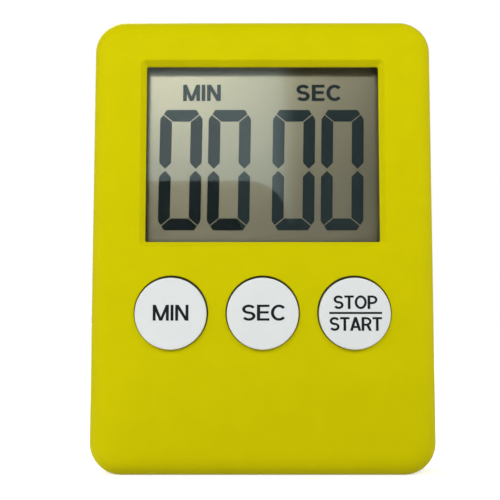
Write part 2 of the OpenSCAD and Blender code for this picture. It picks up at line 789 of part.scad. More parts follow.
// Strip soldered to the board that touches the side of the can
module cell_positive_contact() {
    tab_w = 5;
    x = coin_r + slide_gap;
    color([0.83, 0.74, 0.5]) stand_up() {
        translate([x, door_y - tab_w / 2, cup_rib_z]) cube([leaf_t, tab_w, board_back - cup_rib_z]);
        translate([x, door_y - tab_w / 2, board_back - leaf_t]) cube([cup_inner_r - x - 0.2, tab_w, leaf_t]);
    }
}

// Leaf spring soldered to the board that presses on the cell's lid
module cell_negative_contact() {
    leaf_w = 5;
    foot_l = 4;
    slope_l = 4.5;
    touch_l = 2.5;
    tail_l = 1;
    tail_rise = 0.15;
    coin_top = coin_z + coin_t + slide_gap;
    room = board_back - coin_top;
    x1 = foot_l + slope_l;
    x2 = x1 + touch_l;
    x3 = x2 + tail_l;
    color([0.83, 0.74, 0.5]) stand_up() translate([-(x1 + x2) / 2, door_y + leaf_w / 2, board_back])
        rotate([90, 0, 0]) linear_extrude(leaf_w) polygon([
            [0, 0], [0, -leaf_t], [foot_l, -leaf_t], [x1, -room], [x2, -room],
            [x3, tail_rise - room], [x3, tail_rise + leaf_t - room], [x2, leaf_t - room], [x1, leaf_t - room],
            [foot_l, 0]
        ]);
}

// Twist-lock door: disc, hub around the cell, three lugs and a coin slot
module battery_door() {
    slot_l = 12;
    slot_w = 1.8;
    slot_d = 0.55;
    color(case_colour) stand_up() translate([0, door_y, 0]) difference() {
        union() {
            translate([0, 0, slide_gap]) cylinder(r = door_r, h = door_t - slide_gap);
            difference() {
                translate([0, 0, door_t - eps]) cylinder(r = hub_r1, h = lug_z1 - door_t + eps);
                translate([0, 0, door_t]) cylinder(r = hub_r0, h = lug_z1);
            }
            for (a = lug_turns) sector(hub_r1 - 0.2, lug_r, lug_z0, lug_z1, a, lug_angle);
        }
        translate([-slot_l / 2, -slot_w / 2, -cut]) cube([slot_l, slot_w, slide_gap + slot_d + cut]);
    }
}

module magnets() {
    color([0.7, 0.71, 0.73]) stand_up() for (sx = [-1, 1])
        translate([sx * magnet_x, door_y, magnet_z]) cylinder(r = magnet_r, h = magnet_t);
}

// Flap that hangs from two pins and swings out of its recess
module stand() {
    tip_r = 2;
    grip_w = 0.6;
    grip_d = 0.3;
    color(case_colour) stand_up() difference() {
        union() {
            hull() {
                for (sx = [-1, 1]) translate([sx * (stand_w / 2 - tip_r), stand_tip + tip_r, stand_z])
                    cylinder(r = tip_r, h = stand_t, $fn = 32);
                plate(stand_w, hinge_y, heel_l, stand_z, stand_t);
            }
            translate([-stand_w / 2 - pin_l, hinge_y, hinge_z]) rotate([0, 90, 0])
                cylinder(r = pin_r, h = stand_w + 2 * pin_l);
        }
        for (i = [0:2]) plate(stand_w * 0.5, stand_tip + 5 + 1.6 * i, grip_w, stand_z - cut, cut + grip_d);
    }
}

module piezo_disc() {
    color([0.85, 0.68, 0.3]) stand_up() translate([piezo_x, piezo_y, piezo_z]) cylinder(r = piezo_r, h = piezo_t);
}

module piezo_ceramic() {
    color([0.88, 0.87, 0.82]) stand_up()
        translate([piezo_x, piezo_y, ceramic_z]) cylinder(r = ceramic_r, h = ceramic_t);
}

// Point on a cubic curve with four control points
function on_curve(p, t) =
    pow(1 - t, 3) * p[0] + 3 * pow(1 - t, 2) * t * p[1] + 3 * (1 - t) * t * t * p[2] + pow(t, 3) * p[3];
function curve_slope(p, t) =
    3 * pow(1 - t, 2) * (p[1] - p[0]) + 6 * (1 - t) * t * (p[2] - p[1]) + 3 * t * t * (p[3] - p[2]);

// Insulated wire along a curve that stays in planes of constant x
module wire(p) {
    rings = 12;
    sides = 8;
    points = [
        for (i = [0:rings]) let(t = i / rings, c = on_curve(p, t), d = curve_slope(p, t) / norm(curve_slope(p, t)),
                                side = [1, 0, 0], up = cross(d, side))
        for (k = [0:sides - 1]) let(a = 360 * k / sides) c + wire_r * (cos(a) * side + sin(a) * up)
    ];
    faces = concat(
        [[for (k = [0:sides - 1]) k]],
        [for (i = [0:rings - 1], k = [0:sides - 1]) [
            i * sides + k, (i + 1) * sides + k, (i + 1) * sides + (k + 1) % sides, i * sides + (k + 1) % sides
        ]],
        [[for (k = [sides - 1:-1:0]) rings * sides + k]]
    );
    polyhedron(points = points, faces = faces);
}

module piezo_wire(x, z) {
    run = 10;
    slack = 2.2;
    start = [x, piezo_y, z + wire_r];
    end = [x, piezo_y + run, board_back];
    wire([start, start + [0, run / 2, 0], end - [0, 0, slack], end]);
}

module piezo_red_wire() {
    color([0.75, 0.1, 0.08]) stand_up() piezo_wire(piezo_x + ceramic_r / 3, ceramic_z + ceramic_t);
}

module piezo_black_wire() {
    color([0.08, 0.08, 0.08]) stand_up() piezo_wire(piezo_x - (ceramic_r + piezo_r) / 2, piezo_z + piezo_t);
}

front_case();
rear_cover();
case_screws();
window_lens();
display_frame();
front_polariser();
front_glass();
digit_segments();
display_seal();
rear_glass();
rear_polariser();
contact_strip();
circuit_board();
board_screws();
chip_blob();
quartz_crystal();
chip_capacitors();
chip_resistors();
boost_coil();
boost_transistor();
keypad_sheet();
min_dome();
sec_dome();
start_stop_dome();
min_contact_pill();
sec_contact_pill();
start_stop_contact_pill();
min_button();
sec_button();
start_stop_button();
coin_cell();
cell_positive_contact();
cell_negative_contact();
battery_door();
magnets();
stand();
piezo_disc();
piezo_ceramic();
piezo_red_wire();
piezo_black_wire();
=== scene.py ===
"""Looks of a slim countdown timer: mouldings, caps, display and rear fittings.

Sizes are in millimetres, in the timer's own axes: x to the right, y up the face and
z from the rear plane to the face. Shell.mesh() turns them into the frame's metres.
"""

import logging
import math
from dataclasses import dataclass, field
from enum import Enum
from typing import Iterable, Sequence

import bmesh
import bpy
import numpy as np
from mathutils import Euler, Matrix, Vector
from mathutils.geometry import delaunay_2d_cdt


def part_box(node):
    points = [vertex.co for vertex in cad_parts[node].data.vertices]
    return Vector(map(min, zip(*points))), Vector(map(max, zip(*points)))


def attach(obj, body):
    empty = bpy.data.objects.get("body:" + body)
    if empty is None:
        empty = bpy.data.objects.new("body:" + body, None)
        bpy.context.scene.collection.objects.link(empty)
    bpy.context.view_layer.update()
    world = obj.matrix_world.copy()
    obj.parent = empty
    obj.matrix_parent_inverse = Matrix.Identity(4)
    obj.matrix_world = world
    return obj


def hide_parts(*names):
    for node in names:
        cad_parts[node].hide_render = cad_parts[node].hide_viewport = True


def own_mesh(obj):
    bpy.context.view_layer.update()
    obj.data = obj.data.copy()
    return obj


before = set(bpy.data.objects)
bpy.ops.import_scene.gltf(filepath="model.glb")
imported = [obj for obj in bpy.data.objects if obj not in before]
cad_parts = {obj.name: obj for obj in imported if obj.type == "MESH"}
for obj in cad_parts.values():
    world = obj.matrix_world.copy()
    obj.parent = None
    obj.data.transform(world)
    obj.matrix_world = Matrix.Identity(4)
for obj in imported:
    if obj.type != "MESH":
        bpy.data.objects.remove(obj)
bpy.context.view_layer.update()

LOG = logging.getLogger("timer")
MM = 0.001
WELD = 1e-6
NOISE_SPAN = (0.3, 0.7)
REAR_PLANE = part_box("rear_cover")[1].y / MM
Pair = tuple[float, float]
Colour = tuple[float, float, float]
Socket = bpy.types.NodeSocket


# ---------------------------------------------------------------- sizes read from the frame


@dataclass(frozen=True)
class NodeBox:
    """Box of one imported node, in the timer's own axes and in millimetres."""

    x0: float
    x1: float
    y0: float
    y1: float
    z0: float
    z1: float

    @classmethod
    def of(cls, node: str) -> "NodeBox":
        """Reads the box of a node.

        Args:
            node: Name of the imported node.

        Returns:
            Its box.
        """
        low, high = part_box(node)
        return cls(low.x / MM, high.x / MM, low.z / MM, high.z / MM,
                   REAR_PLANE - high.y / MM, REAR_PLANE - low.y / MM)

    @property
    def centre(self) -> Pair:
        """Middle of the box across x and y."""
        return (self.x0 + self.x1) / 2, (self.y0 + self.y1) / 2

    @property
    def half_height(self) -> float:
        """Half the box's size along y."""
        return (self.y1 - self.y0) / 2

    def corners(self, inset: float) -> list[Pair]:
        """Four points that lie inset from two sides each."""
        return [(x, y) for x in (self.x0 + inset, self.x1 - inset)
                for y in (self.y0 + inset, self.y1 - inset)]


class Body(Enum):
    """Bodies of the frame that pieces ride on."""

    CASE = "case"
    MIN_KEY = "min_key"
    SEC_KEY = "sec_key"
    START_STOP_KEY = "start_stop_key"
    STAND = "rear_stand"
    DOOR = "door"


# ---------------------------------------------------------------- curves and outlines


def ellipse_arc(centre: Sequence[float], radii: Sequence[float], start: float, stop: float,
                steps: int) -> np.ndarray:
    """Points of an elliptic arc: centre + (rx cos a, ry sin a).

    Args:
        centre: Middle of the ellipse.
        radii: Its two radii.
        start: First angle, in degrees.
        stop: Last angle, in degrees.
        steps: Number of chords.

    Returns:
        Array of steps + 1 points.
    """
    angle = np.radians(np.linspace(start, stop, steps + 1))
    return np.stack([centre[0] + radii[0] * np.cos(angle),
                     centre[1] + radii[1] * np.sin(angle)], -1)


def soften(corners: Sequence[Sequence[float]], reach: Sequence[float],
           steps: int = 5) -> np.ndarray:
    """Open line with rounded corners.

    A corner p is replaced by the quadratic curve (1-t)^2 a + 2t(1-t) p + t^2 b, where a and b
    lie on the two legs at the corner's reach from p.

    Args:
        corners: Points of the line.
        reach: Reach of the rounding at each point; the two end points stay as they are.
        steps: Chords in each rounded corner.

    Returns:
        Array of the line's points.
    """
    points = np.asarray(corners, float)
    t = np.linspace(0, 1, steps + 1)[:, None]
    parts = [points[:1]]
    for before, corner, after, size in zip(points[:-2], points[1:-1], points[2:], reach[1:-1]):
        a = corner + (before - corner) / np.linalg.norm(before - corner) * size
        b = corner + (after - corner) / np.linalg.norm(after - corner) * size
        curve = (1 - t) ** 2 * a + 2 * t * (1 - t) * corner + t ** 2 * b
        parts.append(curve if size > 0 else corner[None])
    return np.concatenate(parts + [points[-1:]])


@dataclass(frozen=True)
class Circle:
    """Round outline."""

    x: float
    y: float
    r: float = 0.0
    steps: int = 72

    def ring(self, out: float = 0.0) -> np.ndarray:
        """Points counter-clockwise, moved outwards by out: centre + (r + out)(cos a, sin a)."""
        return ellipse_arc((self.x, self.y), (self.r + out,) * 2, 0, 360, self.steps)[:-1]


@dataclass(frozen=True)
class Slab:
    """Rectangular outline with round corners."""

    x0: float
    x1: float
    y0: float
    y1: float
    r: float
    steps: int = 6
    flare: float = 1.0
    least_r: float = 0.02

    def ring(self, out: float = 0.0) -> np.ndarray:
        """Points counter-clockwise, moved outwards by out.

        Each corner is a quarter circle whose radius grows by flare times out.

        Args:
            out: Distance that every side moves outwards.

        Returns:
            Array of the ring's points.
        """
        r = max(self.r + self.flare * out, self.least_r)
        x0, x1, y0, y1 = self.x0 - out + r, self.x1 + out - r, self.y0 - out + r, self.y1 + out - r
        corners = [(x1, y1, 0), (x0, y1, 90), (x0, y0, 180), (x1, y0, 270)]
        return np.concatenate([ellipse_arc((x, y), (r, r), a, a + 90, self.steps)
                               for x, y, a in corners])


@dataclass(frozen=True)
class Polygon:
    """Outline through given points, listed counter-clockwise."""

    points: np.ndarray

    def ring(self, out: float = 0.0) -> np.ndarray:
        """Points moved outwards along their mitred corners.

        With n and m the outward normals of the two sides at a point, the point moves by
        out (n + m) / (1 + n.m), which moves both sides by out.

        Args:
            out: Distance that every side moves outwards.

        Returns:
            Array of the ring's points.
        """
        side = np.roll(self.points, -1, 0) - self.points
        side /= np.linalg.norm(side, axis=1)[:, None]
        normal = np.stack([side[:, 1], -side[:, 0]], -1)
        before = np.roll(normal, 1, 0)
        spread = 1 + np.sum(normal * before, axis=1)[:, None]
        return self.points + out * (normal + before) / spread


Outline = Circle | Slab | Polygon


def inside(points: np.ndarray, loop: np.ndarray) -> np.ndarray:
    """Tells which points lie in a loop, by the crossings of a ray towards +x.

    Args:
        points: Array of points to test.
        loop: Points of the closed loop.

    Returns:
        Array of truth values.
    """
    a, b = loop, np.roll(loop, -1, 0)
    x, y = points[:, :1], points[:, 1:]
    spans = (a[:, 1] > y) != (b[:, 1] > y)
    rise = np.where(b[:, 1] == a[:, 1], 1.0, b[:, 1] - a[:, 1])
    cross_x = a[:, 0] + (y - a[:, 1]) * (b[:, 0] - a[:, 0]) / rise
    return np.sum(spans & (x < cross_x), axis=1) % 2 == 1


def area(loops: Sequence[np.ndarray], odd: bool = False) -> tuple[np.ndarray, np.ndarray]:
    """Triangles of the area that closed loops take in.

    Args:
        loops: Closed loops, which may cross unless odd is set.
        odd: Whether the area lies in an odd number of loops, so that a loop inside another
            leaves a hole, and not in at least one.

    Returns:
        Points and triangles.
    """
    starts = np.cumsum([0] + [len(loop) for loop in loops[:-1]])
    edges = [np.stack([s + np.arange(len(loop)), s + (np.arange(len(loop)) + 1) % len(loop)], -1)
             for s, loop in zip(starts, loops)]
    result = delaunay_2d_cdt(np.concatenate(loops).tolist(), np.concatenate(edges).tolist(), [],
                             0, WELD, False)
    points, triangles = np.array(result[0]), np.array(result[2], int)
    count = sum(inside(points[triangles].mean(axis=1), loop).astype(int) for loop in loops)
    return points, triangles[count % 2 == 1 if odd else count > 0]


# ---------------------------------------------------------------- meshes


class Shell:
    """Surface of one piece, gathered from swept rings, walls and flat areas."""

    def __init__(self) -> None:
        """Starts with no surface."""
        self._points: list[np.ndarray] = []
        self._faces: list[np.ndarray] = []
        self._count = 0

    def _add(self, points: np.ndarray, *faces: np.ndarray) -> None:
        """Keeps points and the faces between them.

        Args:
            points: Array of points.
            faces: Arrays of faces, by the numbers of these points.
        """
        self._points.append(points)
        self._faces += [block + self._count for block in faces]
        self._count += len(points)

    def grid(self, points: np.ndarray, closed: bool = True) -> None:
        """Joins neighbouring points of a grid by quads.

        Args:
            points: Array of rows by columns by three.
            closed: Whether the last column joins the first.
        """
        rows, columns = points.shape[:2]
        index = np.arange(rows * columns).reshape(rows, columns)
        if closed:
            index = np.concatenate([index, index[:, :1]], axis=1)
        quads = np.stack([index[:-1, :-1], index[:-1, 1:], index[1:, 1:], index[1:, :-1]], -1)
        self._add(points.reshape(-1, 3), quads.reshape(-1, 4))

    @staticmethod
    def swept(outline: Outline, profile: np.ndarray) -> np.ndarray:
        """Grid of an outline that is carried through a profile.

        Args:
            outline: Closed outline in the x-y plane.
            profile: Points (out, z): how far outside the outline, and how high.

        Returns:
            Array of profile points by outline points by three.
        """
        rings = np.stack([outline.ring(out) for out, _ in profile])
        heights = np.broadcast_to(profile[:, 1][:, None, None], rings.shape[:2] + (1,))
        return np.concatenate([rings, heights], -1)

    def sweep(self, outline: Outline, profile: np.ndarray) -> None:
        """Carries a profile of points (out, z) along a closed outline."""
        self.grid(self.swept(outline, profile))

    def flat(self, z: float, *loops: np.ndarray) -> None:
        """Fills the flat area between loops at one height.

        Args:
            z: Height of the area.
            loops: Closed loops, none of which cross.
        """
        points, triangles = area(loops, odd=True)
        self._add(np.column_stack([points, np.full(len(points), z)]), triangles)

    def wall(self, line: np.ndarray, z0: float, z1: float, closed: bool = False) -> None:
        """Upright wall along a line.

        Args:
            line: Points of the line in the x-y plane.
            z0: Height of one edge.
            z1: Height of the other edge.
            closed: Whether the line closes.
        """
        low, high = (np.column_stack([line, np.full(len(line), z)]) for z in (z0, z1))
        self.grid(np.stack([low, high]), closed)

    def capped(self, line: np.ndarray, z0: float, z1: float) -> np.ndarray:
        """Upright wall on a closed line, with the flat area at its second edge.

        Args:
            line: Points of the line in the x-y plane.
            z0: Height of the open edge.
            z1: Height of the flat area.

        Returns:
            The line, which the surface at the open edge leaves out.
        """
        self.wall(line, z0, z1, closed=True)
        self.flat(z1, line)
        return line

    def opening(self, outline: Outline, edge: Pair, z0: float, z1: float,
                blind: bool = False) -> np.ndarray:
        """Wall of an opening, with a rounded edge at its mouth.

        Args:
            outline: Outline of the opening.
            edge: Width of the level strip around the mouth, and reach of the rounding.
            z0: Height of the mouth.
            z1: Height of the other end.
            blind: Whether the other end is closed.

        Returns:
            Outside of the strip, which the surface around the mouth leaves out.
        """
        strip, soft = edge
        self.sweep(outline, soften([(strip, z0), (0, z0), (0, z1)], [0, soft, 0]))
        if blind:
            self.flat(z1, outline.ring())
        return outline.ring(strip)

    def solid(self, outline: Outline, profile: np.ndarray) -> None:
        """Closed solid of a swept profile, with its first and last ring filled.

        Args:
            outline: Closed outline in the x-y plane.
            profile: Points (out, z) from the lower to the upper end.
        """
        self.sweep(outline, profile)
        for out, z in (profile[0], profile[-1]):
            self.flat(z, outline.ring(out))

    def prism(self, points: np.ndarray, triangles: np.ndarray, z0: float, z1: float) -> None:
        """Closed solid over flat triangles.

        The walls stand on the edges that belong to one triangle only.

        Args:
            points: Points of the area in the x-y plane.
            triangles: Its triangles.
            z0: Height of the lower side.
            z1: Height of the upper side.
        """
        pairs = np.concatenate([triangles[:, [0, 1]], triangles[:, [1, 2]], triangles[:, [2, 0]]])
        _, first, uses = np.unique(np.sort(pairs, axis=1), axis=0, return_index=True,
                                   return_counts=True)
        rim = pairs[first[uses == 1]]
        n = len(points)
        both = np.concatenate([np.column_stack([points, np.full(n, z)]) for z in (z0, z1)])
        self._add(both, triangles[:, ::-1], triangles + n, np.column_stack([rim, rim[:, ::-1] + n]))

    def turned(self, other: "Shell", turn: np.ndarray, shift: Sequence[float]) -> None:
        """Adds another shell, turned by a 3 by 3 matrix and then shifted.

        Args:
            other: The shell to add.
            turn: The matrix.
            shift: How far it moves along x, y and z.
        """
        self._add(np.concatenate(other._points) @ turn.T + np.asarray(shift, float), *other._faces)

    def mesh(self, name: str, sharp: float) -> bpy.types.Mesh:
        """Makes the mesh, in metres and in the frame's axes: (x, rear plane - z, y).

        Args:
            name: Name of the mesh.
            sharp: Angle above which an edge stays sharp, in degrees.

        Returns:
            A closed mesh whose faces point outwards.
        """
        local = np.concatenate(self._points)
        world = np.stack([local[:, 0], REAR_PLANE - local[:, 2], local[:, 1]], -1) * MM
        mesh = bpy.data.meshes.new(name)
        mesh.from_pydata(world.tolist(), [], sum((block.tolist() for block in self._faces), []))
        work = bmesh.new()
        work.from_mesh(mesh)
        bmesh.ops.remove_doubles(work, verts=work.verts, dist=WELD)
        bmesh.ops.recalc_face_normals(work, faces=work.faces)
        work.to_mesh(mesh)
        work.free()
        mesh.shade_smooth()
        mesh.set_sharp_from_angle(angle=math.radians(sharp))
        return mesh


# ---------------------------------------------------------------- finishes


class Nodes:
    """Adds and links the nodes of one tree."""

    def __init__(self, tree: bpy.types.NodeTree) -> None:
        """Takes a tree and empties it."""
        self.tree = tree
        tree.nodes.clear()

    def node(self, kind: str, inputs: dict[str | int, object] | None = None,
             **settings: object) -> bpy.types.Node:
        """Adds a node.

        Args:
            kind: Kind of node.
            inputs: A socket to link, or a value to set, for each named or numbered input.
            settings: Values of the node's own properties.

        Returns:
            The node.
        """
        node = self.tree.nodes.new(kind)
        for name, value in settings.items():
            setattr(node, name, value)
        for name, value in (inputs or {}).items():
            if isinstance(value, Socket):
                self.tree.links.new(value, node.inputs[name])
            else:
                node.inputs[name].default_value = value
        return node

    def math(self, operation: str, *values: Socket | float, **settings: object) -> Socket:
        """Result of a Math node on sockets or numbers."""
        return self.node("ShaderNodeMath", dict(enumerate(values)), operation=operation,
                         **settings).outputs[0]

    def span(self, value: Socket, source: Pair, target: Pair, **settings: object) -> Socket:
        """Maps one span of a value onto another, and holds it beyond their ends.

        Args:
            value: The value.
            source: Span that it comes in.
            target: Span that it goes out in.
            settings: Values of the node's own properties.

        Returns:
            The mapped socket.
        """
        inputs = {"Value": value, "From Min": source[0], "From Max": source[1],
                  "To Min": target[0], "To Max": target[1]}
        return self.node("ShaderNodeMapRange", inputs, **settings).outputs["Result"]

    def glow(self, colour: Colour = (1.0, 1.0, 1.0), strength: Socket | float = 1.0) -> Socket:
        """Emission shader of one colour."""
        return self.node("ShaderNodeEmission",
                         {"Color": (*colour, 1), "Strength": strength}).outputs[0]

    def mix(self, share: Socket, first: Socket, second: Socket) -> Socket:
        """Mixes two shaders by the second one's share."""
        return self.node("ShaderNodeMixShader", {0: share, 1: first, 2: second}).outputs[0]

    def seen_rays(self) -> Socket:
        """Finds the rays that show the surroundings.

        Returns:
            Factor that is 1 for camera, glossy and transmitted rays and 0 for the others.
        """
        path = self.node("ShaderNodeLightPath").outputs
        glossy = self.math("MAXIMUM", path["Is Camera Ray"], path["Is Glossy Ray"])
        return self.math("MAXIMUM", glossy, path["Is Transmission Ray"])


class Sheet(Nodes):
    """Nodes of one material, on the piece's own coordinates in millimetres."""

    def __init__(self, name: str) -> None:
        """Starts an empty material.

        Args:
            name: Name of the material.
        """
        self.material = bpy.data.materials.new(name)
        self.material.use_nodes = True
        super().__init__(self.material.node_tree)
        self.place = self.scaled(self.node("ShaderNodeTexCoord").outputs["Object"], (1 / MM,) * 3)

    def scaled(self, vector: Socket, scale: Sequence[float]) -> Socket:
        """Scales a place along each axis."""
        return self.node("ShaderNodeMapping", {"Vector": vector, "Scale": scale}).outputs["Vector"]

    def across(self, axis: str) -> Socket:
        """One coordinate of the place."""
        return self.node("ShaderNodeSeparateXYZ", {0: self.place}).outputs[axis]

    def noise(self, size: float, detail: float = 3.0, roughness: float = 0.5,
              stretch: Sequence[float] | None = None) -> Socket:
        """Noise from 0 to 1.

        Args:
            size: Size of its largest blotches, in millimetres.
            detail: Octaves of finer noise.
            roughness: Share that each finer octave keeps.
            stretch: Scale along each axis, where it isn't even.

        Returns:
            The noise socket.
        """
        inputs = {"Vector": self.scaled(self.place, stretch) if stretch else self.place,
                  "Scale": 1 / size, "Detail": detail, "Roughness": roughness}
        return self.node("ShaderNodeTexNoise", inputs).outputs["Fac"]

    def ramp(self, noise: Socket, span: Pair = (0.0, 1.0), size: float = 1.0) -> Socket:
        """Maps a noise's usual span onto a span that is given in shares of a size."""
        return self.span(noise, NOISE_SPAN, (span[0] * size, span[1] * size))

    def tint(self, factor: Socket, colour: Colour, low: float, high: float) -> Socket:
        """Colour that a factor of 0 to 1 makes low to high times as bright.

        Args:
            factor: The factor.
            colour: The colour.
            low: Brightness at 0.
            high: Brightness at 1.

        Returns:
            The colour socket.
        """
        dark, light = ((*(min(1.0, channel * share) for channel in colour), 1)
                       for share in (low, high))
        return self.node("ShaderNodeMix", {"Factor": factor, "A": dark, "B": light},
                         data_type="RGBA").outputs["Result"]

    def paint_gap_shade(self, colour: Socket, face: float, depth: float = 0.3, tone: float = 0.22) -> Socket:
        """Darkens a colour behind a plane across Y: painted shade in the shadowed gap around a
        part.

        Args:
            colour: Colour to darken.
            face: Y of the plane, in millimetres.
            depth: How far behind the plane the colour is darkest.
            tone: Share of the colour that is left there.

        Returns:
            The colour socket.
        """
        share = self.span(self.across("Y"), (face, face + depth), (1.0, tone))
        return self.node("ShaderNodeVectorMath", {0: colour, "Scale": share},
                         operation="SCALE").outputs["Vector"]

    def bump(self, height: Socket, depth: float, below: Socket | None = None) -> Socket:
        """Bump of a height socket.

        Args:
            height: Height from 0 to 1.
            depth: Depth of the relief, in millimetres.
            below: Normal of a relief under this one.

        Returns:
            The normal socket.
        """
        inputs = {"Distance": depth * MM, "Height": height}
        if below is not None:
            inputs["Normal"] = below
        return self.node("ShaderNodeBump", inputs).outputs["Normal"]

    def surface(self, colour: Socket, roughness: Socket, normal: Socket,
                even: dict[str, float]) -> bpy.types.Material:
        """Makes the material of a Principled shader.

        Args:
            colour: Its base colour.
            roughness: Its roughness.
            normal: Its normal.
            even: Values that are the same all over, by the names of the shader's sockets.

        Returns:
            The material.
        """
        inputs = {"Base Color": colour, "Roughness": roughness, "Normal": normal, **even}
        return self.finish(self.node("ShaderNodeBsdfPrincipled", inputs).outputs["BSDF"])

    def finish(self, shader: Socket) -> bpy.types.Material:
        """Links a shader to the output and returns the material."""
        self.node("ShaderNodeOutputMaterial", {"Surface": shader})
        return self.material


@dataclass(frozen=True)
class Moulded:
    """Moulded plastic, resin or rubber with a fine spark-eroded grain.

    In every finish, sizes and depths of a pattern are in millimetres, spread is a share of the
    colour and gloss_span is one of the roughness. Here drift is a share of the wave's size.
    """

    name: str
    colour: Colour
    roughness: float = 0.45
    specular: float = 0.5
    spread: float = 0.03
    grain: float = 0.35
    grain_depth: float = 0.006
    wave: float = 9.0
    wave_depth: float = 0.0
    drift: float = 0.6
    gloss_span: Pair = (0.88, 1.12)
    # Y behind which painted shade darkens the colour, or None for no painted shade.
    gap_shade_from: float | None = None

    def material(self) -> bpy.types.Material:
        """Colour and roughness drift slowly; the grain is a fine bump over a shallow wave; painted
        shade may darken the colour behind a plane.

        Returns:
            The material.
        """
        sheet = Sheet(self.name)
        drift = sheet.ramp(sheet.noise(self.wave * self.drift, detail=4.0))
        colour = sheet.tint(drift, self.colour, 1 - self.spread, 1 + self.spread)
        # Painted shade: the colour darkens behind the face plane, where the gap around a cap lies
        # in shadow.
        if self.gap_shade_from is not None:
            colour = sheet.paint_gap_shade(colour, self.gap_shade_from)
        wave = None
        if self.wave_depth > 0:
            wave = sheet.bump(sheet.noise(self.wave, detail=1.0), self.wave_depth)
        grain = sheet.noise(self.grain, detail=2.0, roughness=0.6)
        return sheet.surface(colour, sheet.ramp(grain, self.gloss_span, self.roughness),
                             sheet.bump(grain, self.grain_depth, wave),
                             {"Specular IOR Level": self.specular})


@dataclass(frozen=True)
class Plated:
    """Metal with fine drawn lines and slight tarnish."""

    name: str
    colour: Colour
    roughness: float = 0.3
    lines: float = 0.25
    line_depth: float = 0.002
    line_stretch: tuple[float, float, float] = (1, 1, 0.08)
    tarnish: float = 4.0
    spread: float = 0.08
    gloss_span: Pair = (0.8, 1.25)

    def material(self) -> bpy.types.Material:
        """Stretched noise gives the drawn lines, and a slow noise the tarnish.

        Returns:
            The material.
        """
        sheet = Sheet(self.name)
        lines = sheet.noise(self.lines, stretch=self.line_stretch)
        tarnish = sheet.ramp(sheet.noise(self.tarnish, detail=4.0))
        return sheet.surface(sheet.tint(tarnish, self.colour, 1 - self.spread, 1.0),
                             sheet.ramp(lines, self.gloss_span, self.roughness),
                             sheet.bump(lines, self.line_depth), {"Metallic": 1.0})


@dataclass(frozen=True)
class Reflector:
    """Satin film behind the display that throws light back through it."""

    name: str
    colour: Colour
    roughness: float
    metallic: float
    speckle: float = 0.22
    speckle_depth: float = 0.004
    speckle_share: float = 0.6
    cloud: float = 7.0
    cloud_span: Pair = (0.1, 0.3)
    spread: float = 0.10
    gloss_span: Pair = (0.9, 1.1)
    coat_roughness: float = 0.06
    coat_ior: float = 1.7

    def material(self) -> bpy.types.Material:
        """Fine grains of two sizes vary colour and slope, as in pressed foil.

        Returns:
            The material.
        """
        sheet = Sheet(self.name)
        speckle = sheet.noise(self.speckle, roughness=0.7)
        cloud = sheet.ramp(sheet.noise(self.cloud), self.cloud_span)
        mixed = sheet.math("MULTIPLY_ADD", speckle, self.speckle_share, cloud)
        return sheet.surface(sheet.tint(mixed, self.colour, 1 - self.spread, 1 + self.spread),
                             sheet.ramp(speckle, self.gloss_span, self.roughness),
                             sheet.bump(speckle, self.speckle_depth),
                             {"Metallic": self.metallic, "Coat Weight": 1.0,
                              "Coat Roughness": self.coat_roughness,
                              "Coat IOR": self.coat_ior})


@dataclass(frozen=True)
class Pane:
    """Clear flat sheet: light goes straight through, and a gloss grows at grazing angles."""

    name: str
    colour: Colour
    gloss: float
    roughness: float = 0.02
    haze: float = 6.0
    haze_depth: float = 0.0015
    spread: float = 0.01

    def material(self) -> bpy.types.Material:
        """Gloss share is f0 + (1 - f0) (1 - cos)^5, with f0 the gloss seen straight on.

        Returns:
            The material.
        """
        sheet = Sheet(self.name)
        facing = sheet.node("ShaderNodeLayerWeight", {"Blend": 0.5}).outputs["Facing"]
        share = sheet.math("MULTIPLY_ADD", sheet.math("POWER", facing, 5.0), 1 - self.gloss,
                           self.gloss, use_clamp=True)
        haze = sheet.noise(self.haze)
        clear = sheet.node("ShaderNodeBsdfTransparent",
                           {"Color": sheet.tint(haze, self.colour, 1 - self.spread, 1.0)})
        gloss = sheet.node("ShaderNodeBsdfGlossy", {"Roughness": self.roughness,
                                                    "Normal": sheet.bump(haze, self.haze_depth)})
        return sheet.finish(sheet.mix(share, clear.outputs[0], gloss.outputs[0]))


@dataclass(frozen=True)
class Printed:
    """Pad-printed ink or display segments: one even colour with a faint mottle."""

    name: str
    colour: Colour
    roughness: float = 0.5
    specular: float = 0.15
    mottle: float = 0.5
    mottle_depth: float = 0.001
    spread: float = 0.15
    gloss_span: Pair = (0.9, 1.1)

    def material(self) -> bpy.types.Material:
        """The mottle varies colour and gloss a little, and leaves the edges sharp.

        Returns:
            The material.
        """
        sheet = Sheet(self.name)
        mottle = sheet.noise(self.mottle)
        return sheet.surface(sheet.tint(mottle, self.colour, 1 - self.spread, 1 + self.spread),
                             sheet.ramp(mottle, self.gloss_span, self.roughness),
                             sheet.bump(mottle, self.mottle_depth),
                             {"Specular IOR Level": self.specular})


